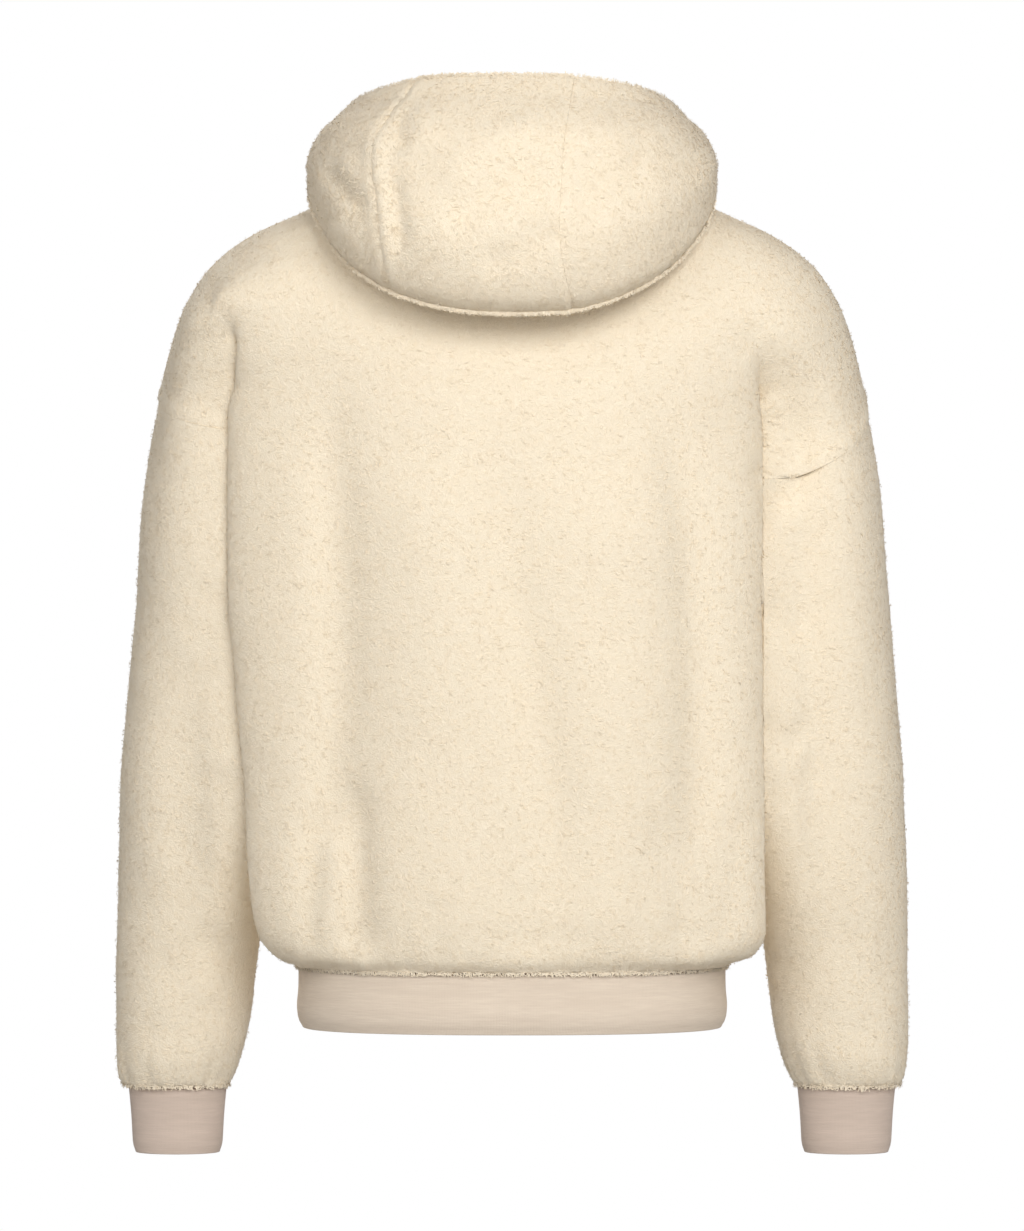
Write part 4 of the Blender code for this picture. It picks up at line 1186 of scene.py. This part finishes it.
def way_along(line):
    """Way along a closed line to each of its points and back to the first."""
    steps = np.linalg.norm(np.diff(np.concatenate((line, line[:1])), axis=0), axis=1)
    return np.concatenate(([0.0], np.cumsum(steps)))


def knit_profile(top, hem, inset, thickness, rows=14):
    """Profile of a doubled knitted edge: down the outside, round the fold at the hem, and up inside."""
    turn = np.linspace(0.0, np.pi, 9)
    radius = thickness / 2.0
    z = np.linspace(top, hem + radius, rows)
    share = (top - z) / (top - hem)
    middle = inset(1.0) - radius
    outside = [(inset(t), h) for t, h in zip(share[:-1], z[:-1])]
    fold = [(middle + radius * np.cos(a), hem + radius - radius * np.sin(a)) for a in turn]
    inside = [(inset(t) - thickness, h) for t, h in zip(share[-2::-1], z[-2::-1])]
    return outside + fold + inside


# Materials

CURLS = {"Scale": 1.0, "Detail": 1.5, "Roughness": 0.5, "Distortion": 1.6}
HAIRS = {"Scale": 3.1, "Detail": 2.0, "Roughness": 0.6, "Distortion": 0.8}
CLUMPS = {"Scale": 0.27, "Detail": 1.0, "Roughness": 0.5, "Distortion": 0.4}
# Painted shadow beside stitched lines of the fleece: how far it reaches, in metres, and its colour
STITCH_SHADE = 0.0018
STITCH_SHADOW_COLOUR = (0.78, 0.66, 0.50)
KNIT_SHADE = (0.0008, 0.0032)
KNIT_SHADE_COLOUR = (0.24, 0.17, 0.11)
KNIT_STRETCH = (0.09, 1.0, 1.0)


def feed(node, inputs):
    """Give inputs of a shader node a value, or a link where the value is another node's output."""
    for name, value in inputs.items():
        if isinstance(value, bpy.types.NodeSocket):
            node.id_data.links.new(value, node.inputs[name])
        else:
            node.inputs[name].default_value = value


def add(tree, kind, inputs, **settings):
    """New shader node of a kind, with its settings and inputs."""
    node = tree.nodes.new("ShaderNode" + kind)
    for name, value in settings.items():
        setattr(node, name, value)
    feed(node, inputs)
    return node


def mix_colour(tree, factor, first, second):
    """Mix of two colours by a factor, each a plain colour or another node's output."""
    mix = add(tree, "Mix", {0: factor}, data_type="RGBA")
    for place, colour in ((6, first), (7, second)):
        plain = not isinstance(colour, bpy.types.NodeSocket)
        feed(mix, {place: (*colour, 1.0) if plain else colour})
    return mix.outputs[2]


def pile_group():
    """Node group for curly pile: a height, and a mask of the hollows between the curls where the fleece
    takes a painted shade.

    Curls are noise drawn out by a second noise, ridged by folding its values at the middle;
    finer hairs and wide clumps are added to them.
    """
    group = bpy.data.node_groups.new("curly_pile", "ShaderNodeTree")
    face = group.interface
    face.new_socket(name="Vector", in_out="INPUT", socket_type="NodeSocketVector")
    size = face.new_socket(name="Curl Size", in_out="INPUT", socket_type="NodeSocketFloat")
    size.default_value = 0.004
    face.new_socket(name="Height", in_out="OUTPUT", socket_type="NodeSocketFloat")
    face.new_socket(name="Valley Shade", in_out="OUTPUT", socket_type="NodeSocketFloat")
    given = group.nodes.new("NodeGroupInput").outputs
    place = add(group, "VectorMath", {0: given["Vector"], 1: given["Curl Size"]}, operation="DIVIDE")
    curls, hairs, clumps = (
        add(group, "TexNoise", {"Vector": place.outputs[0], **noise}).outputs["Fac"]
        for noise in (CURLS, HAIRS, CLUMPS)
    )
    centred = add(group, "Math", {0: curls, 1: 0.5}, operation="SUBTRACT")
    folded = add(group, "Math", {0: centred.outputs[0]}, operation="ABSOLUTE")
    ridges = {"Value": folded.outputs[0], "From Min": 0.0, "From Max": 0.16, "To Min": 0.0, "To Max": 1.0}
    ridges = add(group, "MapRange", ridges).outputs[0]
    fine = add(group, "Math", {0: hairs, 1: 0.55, 2: ridges}, operation="MULTIPLY_ADD").outputs[0]
    height = add(group, "Math", {0: clumps, 1: 1.1, 2: fine}, operation="MULTIPLY_ADD").outputs[0]
    low = {"Value": height, "From Min": 0.55, "From Max": 1.6, "To Min": 1.0, "To Max": 0.0}
    valleys = add(group, "MapRange", low).outputs[0]
    feed(group.nodes.new("NodeGroupOutput"), {"Height": height, "Valley Shade": valleys})
    return group


def new_material(name, colour, inputs):
    """Material with the inputs of its Principled BSDF set: itself, its node tree and that shader."""
    material = bpy.data.materials.new(name)
    material.use_nodes = True
    material.diffuse_color = (*colour, 1.0)
    shader = material.node_tree.nodes["Principled BSDF"]
    feed(shader, inputs)
    return material, material.node_tree, shader


def fleece_material(name, pile, high, low, curl, bump):
    """Matt fleece: lighter on the tips of the curls with painted shade in the hollows between them, and a
    painted shadow at the stitched edges.
    """
    finish = {"Roughness": 0.95, "Specular IOR Level": 0.1, "Sheen Weight": 0.12, "Sheen Roughness": 0.6}
    material, tree, shader = new_material(name, high, finish)
    place = add(tree, "TexCoord", {}).outputs["Object"]
    curls = add(tree, "Group", {"Curl Size": curl, "Vector": place}, node_tree=pile)
    # Painted shade: the darker colour goes into the hollows between the curls
    cloth = mix_colour(tree, curls.outputs["Valley Shade"], high, low)
    # Painted shadow: within STITCH_SHADE of a stitched line the fleece takes the darker colour, where the
    # pile dips into the seam
    away = add(tree, "Attribute", {}, attribute_name="stitch").outputs["Fac"]
    seam = {"Value": away, "From Min": 0.0, "From Max": STITCH_SHADE}
    seam = add(tree, "MapRange", seam, interpolation_type="SMOOTHSTEP").outputs[0]
    relief = {"Strength": bump, "Distance": 0.001, "Height": curls.outputs["Height"]}
    relief = add(tree, "Bump", relief).outputs[0]
    feed(shader, {"Base Color": mix_colour(tree, seam, STITCH_SHADOW_COLOUR, cloth), "Normal": relief})
    return material


def wisp_material(name, light, dark):
    """Wisps of pile: every wisp has its own tone between two creams."""
    finish = {"Roughness": 0.9, "Specular IOR Level": 0.1, "Sheen Weight": 0.1}
    material, tree, shader = new_material(name, light, finish)
    tone = add(tree, "Attribute", {}, attribute_name="tone").outputs["Fac"]
    feed(shader, {"Base Color": mix_colour(tree, tone, dark, light)})
    return material


def knit_material(name, high, low):
    """Smooth fine knit: soft streaks that run round the band on its UV map, over faint wales.

    The first millimetres, where it goes up under the fleece, are darkened as by the fleece's shade.
    """
    finish = {"Roughness": 0.9, "Specular IOR Level": 0.15, "Sheen Weight": 0.1}
    material, tree, shader = new_material(name, high, finish)
    uv = add(tree, "UVMap", {}, uv_map="knit").outputs[0]
    drawn = add(tree, "VectorMath", {0: uv, 1: KNIT_STRETCH}, operation="MULTIPLY").outputs[0]
    streaks = {"Vector": drawn, "Scale": 620.0, "Detail": 3.0, "Roughness": 0.6}
    streaks = add(tree, "TexNoise", streaks).outputs["Fac"]
    shades = {"Vector": drawn, "Scale": 150.0, "Detail": 2.0, "Roughness": 0.5}
    shades = add(tree, "TexNoise", shades).outputs["Fac"]
    wales = {"Vector": uv, "Scale": 260.0, "Distortion": 0.8, "Detail": 1.0}
    wales = add(tree, "TexWave", wales, bands_direction="X").outputs["Fac"]
    fuzz = add(tree, "TexNoise", {"Vector": uv, "Scale": 1100.0, "Detail": 3.0}).outputs["Fac"]
    rows = add(tree, "Math", {0: wales, 1: 0.2, 2: streaks}, operation="MULTIPLY_ADD").outputs[0]
    height = add(tree, "Math", {0: fuzz, 1: 0.3, 2: rows}, operation="MULTIPLY_ADD").outputs[0]
    relief = add(tree, "Bump", {"Strength": 0.5, "Distance": 0.0005, "Height": height}).outputs[0]
    both = add(tree, "Math", {0: streaks, 1: shades}, operation="MULTIPLY").outputs[0]
    tone = add(tree, "MapRange", {"Value": both, "From Min": 0.12, "From Max": 0.4}).outputs[0]
    up = add(tree, "SeparateXYZ", {0: uv}).outputs["Y"]
    under = {"Value": up, "From Min": KNIT_SHADE[0], "From Max": KNIT_SHADE[1]}
    under = add(tree, "MapRange", under, interpolation_type="SMOOTHSTEP").outputs[0]
    colour = mix_colour(tree, under, KNIT_SHADE_COLOUR, mix_colour(tree, tone, low, high))
    feed(shader, {"Base Color": colour, "Normal": relief})
    return material


# The garment

pile = pile_group()
# Each fleece has its own colour on the tips of the curls and a darker one as painted shade in the hollows
# between them
FLEECE_OUT = fleece_material("fleece", pile, (0.93, 0.815, 0.635), (0.90, 0.78, 0.595), 0.0042, 0.35)
FLEECE_IN = fleece_material("fleece_backing", pile, (0.88, 0.77, 0.60), (0.84, 0.725, 0.56), 0.0016, 0.2)
WISPS = wisp_material("fleece_wisps", (0.96, 0.85, 0.68), (0.885, 0.765, 0.58))
RIB = knit_material("rib_knit", (0.80, 0.68, 0.55), (0.73, 0.61, 0.49))
# Painted shade: the cuffs are the band's rib knit in darker colours, for the shade they lie in
CUFF_RIB_SHADED = knit_material("cuff_knit", (0.69, 0.56, 0.47), (0.62, 0.50, 0.415))


def fleece_piece(name, points, directions, height, stitch, counts, seed, closed=False, hem=0, fold=None):
    """One fleece panel with its pile, riding on the garment and standing for its plain solid.

    Along its hem, where the fleece laps over a knitted edge or ends at the face, wisps reach over it,
    and along a fold row, given for the hood, they reach down over the fold.
    """
    wall_materials = [FLEECE_OUT, FLEECE_IN]
    panel, outer = cloth_wall(name + "_fleece", points, directions, height, stitch, wall_materials, closed)
    random = np.random.RandomState(seed)
    inner = 1 if hem == 0 else -2
    roots = [
        scatter(outer, directions, counts[0], random, closed),
        edge_roots(outer[hem], outer[inner], directions[hem], counts[1], random),
    ]
    if fold is not None:
        roots.append(fold_roots(outer[fold], directions[fold], counts[2], random))
    root, up, ahead = (np.concatenate(parts) for parts in zip(*roots))
    curls = wisps(name + "_pile", root, up, ahead, random, WISPS)
    for piece in (panel, curls):
        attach(piece, "root")
    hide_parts(name)
    return panel


# Wisps of pile on each piece and along its edges, seeds for scattering them, and the row of the hood's
# fold
BODY_WISPS = {BACK: 44000, FRONT: 30000}
SLEEVE_WISPS = 21000
HEM_WISPS = 1800
CUFF_WISPS = 700
FACE_WISPS = 900
FOLD_WISPS = 2200
FOLD_ROW = HOOD_ROWS // 2 + 3
BODY_SEED = 100
SLEEVE_SEED = 110
HOOD_SEED = 120


def make_body():
    """Back and front panels, drawn back along their seams."""
    for face, count in BODY_WISPS.items():
        points, directions = body_panel(face)
        height = body_height(points, directions, face)
        stitch = reach_from(points, 0, 0)
        pull_in_columns(points, directions)
        pull_in_rows(points, directions)
        for column, side in ((0, RIGHT), (-1, LEFT)):
            points[SIDE_ROWS, column] = underarm(side) + np.array((-side, face, 0.0)) * SEAM_GAP / 2.0
        name = FACE_NAMES[face] + "_panel"
        counts = (count, HEM_WISPS)
        fleece_piece(name, points, directions, height, stitch, counts, BODY_SEED + face)


def make_sleeves():
    """Sleeves, each one tube of cloth from armhole to cuff."""
    for side, name in SIDE_NAMES.items():
        points, directions = sleeve_panel(side)
        height = sleeve_height(points, directions, side)
        stitch = reach_from(points, 0, -1)
        pull_in_rows(points, directions)
        counts = (SLEEVE_WISPS, CUFF_WISPS)
        seed = SLEEVE_SEED + side
        fleece_piece("sleeve_" + name, points, directions, height, stitch, counts, seed, True, -1)


def make_hood():
    """Hood: a centre strip and two side panels, open at the front."""
    panels = (
        ("hood_left", strip_left, hood_front_edge, HOOD_SIDE_COLUMNS, 13000),
        ("hood_centre", strip_right, strip_left, HOOD_CENTRE_COLUMNS, 10000),
        ("hood_right", hood_front_right, strip_right, HOOD_SIDE_COLUMNS, 14000),
    )
    for index, (name, first, last, columns, count) in enumerate(panels):
        points, directions = hood_panel(first, last, columns)
        height = hood_height(points, directions)
        stitch = np.abs(reach_from(points, 0, -1) - HOOD_HEM)
        pull_in_columns(points, directions)
        counts = (count, FACE_WISPS, FOLD_WISPS)
        seed = HOOD_SEED + index
        fleece_piece(name, points, directions, height, stitch, counts, seed, hem=-1, fold=FOLD_ROW)


def knit_piece(name, ring, directions, profile, material):
    """One knitted edge, riding on the garment and standing for its plain solid."""
    made = profile_wall(name + "_knit", ring, directions, profile, material)
    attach(made, "root")
    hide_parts(name)


def edge_rounding(size, share):
    """How far a knitted edge draws in over the last of its height, size at the very end."""
    return size * smooth(share, 0.8, 1.2) * 2.0


def band_offset(share):
    """Offset of the hem band from the fleece's lower edge, share of the way down."""
    swell = BAND_SWELL * bell(share - BAND_SWELL_PLACE, BAND_SWELL_WIDTH)
    return swell - BAND_INSET - edge_rounding(BAND_ROUNDING, share)


def make_band():
    """Hem band: a knitted tube under the fleece, drawn in a little at its lower edge."""
    back, back_directions = body_panel(BACK)
    front, front_directions = body_panel(FRONT)
    ring = np.concatenate((back[0], front[0, -2:0:-1]))
    directions = np.concatenate((back_directions[0], front_directions[0, -2:0:-1]))
    directions[:, 2] = 0.0
    profile = knit_profile(BAND_TOP_Z - SEAM_GAP, HEM_Z, band_offset, KNIT)
    knit_piece("hem_band", ring, unit(directions), profile, RIB)


def make_cuffs():
    """Cuffs: knitted tubes that grip the wrist, narrower than the fleece above them."""
    turn = np.arange(CUFF_COLUMNS) * 2.0 * np.pi / CUFF_COLUMNS
    top = CUFF["half_x"][-1]
    deep = CUFF["half_y"][-1]

    def cuff_offset(share):
        """How much narrower the cuff is than its upper end, share of the way down."""
        z = SLEEVE_END_Z + (CUFF_END_Z - SLEEVE_END_Z) * share
        narrower = along(CUFF, "half_x", z) - top - CUFF_INSET * (1.0 - share)
        return narrower - edge_rounding(CUFF_ROUNDING, share)

    for side, name in SIDE_NAMES.items():
        ring = stack(side * (CUFF_X + top * np.cos(turn)), CUFF_Y + deep * np.sin(turn), SLEEVE_END_Z)
        directions = unit(stack(side * np.cos(turn) / top, np.sin(turn) / deep, 0.0))
        profile = knit_profile(SLEEVE_END_Z - SEAM_GAP / 2.0, CUFF_END_Z, cuff_offset, KNIT)
        knit_piece("cuff_" + name, ring, directions, profile, CUFF_RIB_SHADED)


make_body()
make_sleeves()
make_hood()
make_band()
make_cuffs()


# Camera, stage and light

PICTURE_HEIGHT = 1231.0
METRES_PER_PIXEL = 0.0008
CAMERA_DISTANCE = 5.0
CAMERA_HEIGHT = -0.358
FLOOR_Z = -0.95
FLOOR_RADIUS = 6000.0
FLOOR_CORNERS = 64
FLOOR_GREY = (0.45, 0.45, 0.45)
SURROUND_LIGHT = 0.31
WHITE = (1.0, 1.0, 1.0, 1.0)

# Soft boxes: place, the point they are turned to, side length and power
LIGHTS = {
    "key": ((-1.1, 3.7, 1.5), (0.0, 0.0, -0.3), 1.8, 81.0),
    "side": ((-3.2, 1.6, -0.2), (0.0, 0.0, -0.4), 1.6, 6.0),
    "behind": ((-0.3, 4.4, -0.1), (0.0, 0.0, -0.4), 2.2, 38.0),
    "fill": ((1.8, 3.2, 1.2), (0.0, 0.0, -0.4), 1.8, 26.0),
    "front": ((0.6, -3.6, 1.1), (0.0, 0.0, -0.3), 2.0, 110.0),
}


def make_camera():
    """Level camera behind the garment, whose frame is the picture's height at the body's middle."""
    data = bpy.data.cameras.new("camera")
    data.lens = data.sensor_width * CAMERA_DISTANCE / (PICTURE_HEIGHT * METRES_PER_PIXEL)
    camera = bpy.data.objects.new("camera", data)
    camera.location = (0.0, CAMERA_DISTANCE, CAMERA_HEIGHT)
    camera.rotation_euler = (np.pi / 2, 0.0, np.pi)
    bpy.context.scene.collection.objects.link(camera)
    bpy.context.scene.camera = camera


def show_camera(tree, lit, seen, output):
    """Show the camera one shader, and let the other one light and shade the garment."""
    path = add(tree, "LightPath", {})
    inputs = {0: path.outputs["Is Camera Ray"], 1: lit.outputs[0], 2: seen.outputs[0]}
    both = add(tree, "MixShader", inputs)
    feed(tree.nodes[output], {"Surface": both.outputs[0]})


def make_floor():
    """Round pale floor, a fan of flat faces, plain white to the camera."""
    number = np.arange(FLOOR_CORNERS)
    turn = number * 2.0 * np.pi / FLOOR_CORNERS
    rim = stack(FLOOR_RADIUS * np.cos(turn), FLOOR_RADIUS * np.sin(turn), FLOOR_Z / MM)
    vertices = np.concatenate((rim, [(0.0, 0.0, FLOOR_Z / MM)]))
    middle = np.full(FLOOR_CORNERS, FLOOR_CORNERS)
    faces = np.stack((number, (number + 1) % FLOOR_CORNERS, middle), axis=-1)
    matt = {"Base Color": (*FLOOR_GREY, 1.0), "Roughness": 1.0, "Specular IOR Level": 0.0}
    material = bpy.data.materials.new("floor")
    material.use_nodes = True
    tree = material.node_tree
    shader = tree.nodes["Principled BSDF"]
    feed(shader, matt)
    show_camera(tree, shader, add(tree, "Emission", {"Strength": 1.0}), "Material Output")
    floor = make_mesh("floor", vertices, faces, [material], smooth_faces=False)


def make_world():
    """White surround for the eye, and a softer grey one that lights the garment."""
    world = bpy.data.worlds.new("studio")
    bpy.context.scene.world = world
    world.use_nodes = True
    light = world.node_tree.nodes["Background"]
    feed(light, {"Color": WHITE, "Strength": SURROUND_LIGHT})
    white = add(world.node_tree, "Background", {"Color": WHITE, "Strength": 1.0})
    show_camera(world.node_tree, light, white, "World Output")


def make_light(name, place, aim, size, power):
    """Square soft box at a place, turned to a point of the garment."""
    data = bpy.data.lights.new(name, "AREA")
    data.size = size
    data.energy = power
    lamp = bpy.data.objects.new(name, data)
    lamp.location = place
    way = Vector(aim) - Vector(place)
    lamp.rotation_euler = way.to_track_quat("-Z", "Y").to_euler()
    bpy.context.scene.collection.objects.link(lamp)


make_camera()
make_floor()
make_world()
for name, (place, aim, size, power) in LIGHTS.items():
    make_light(name, place, aim, size, power)
bpy.context.scene.view_settings.view_transform = "Standard"
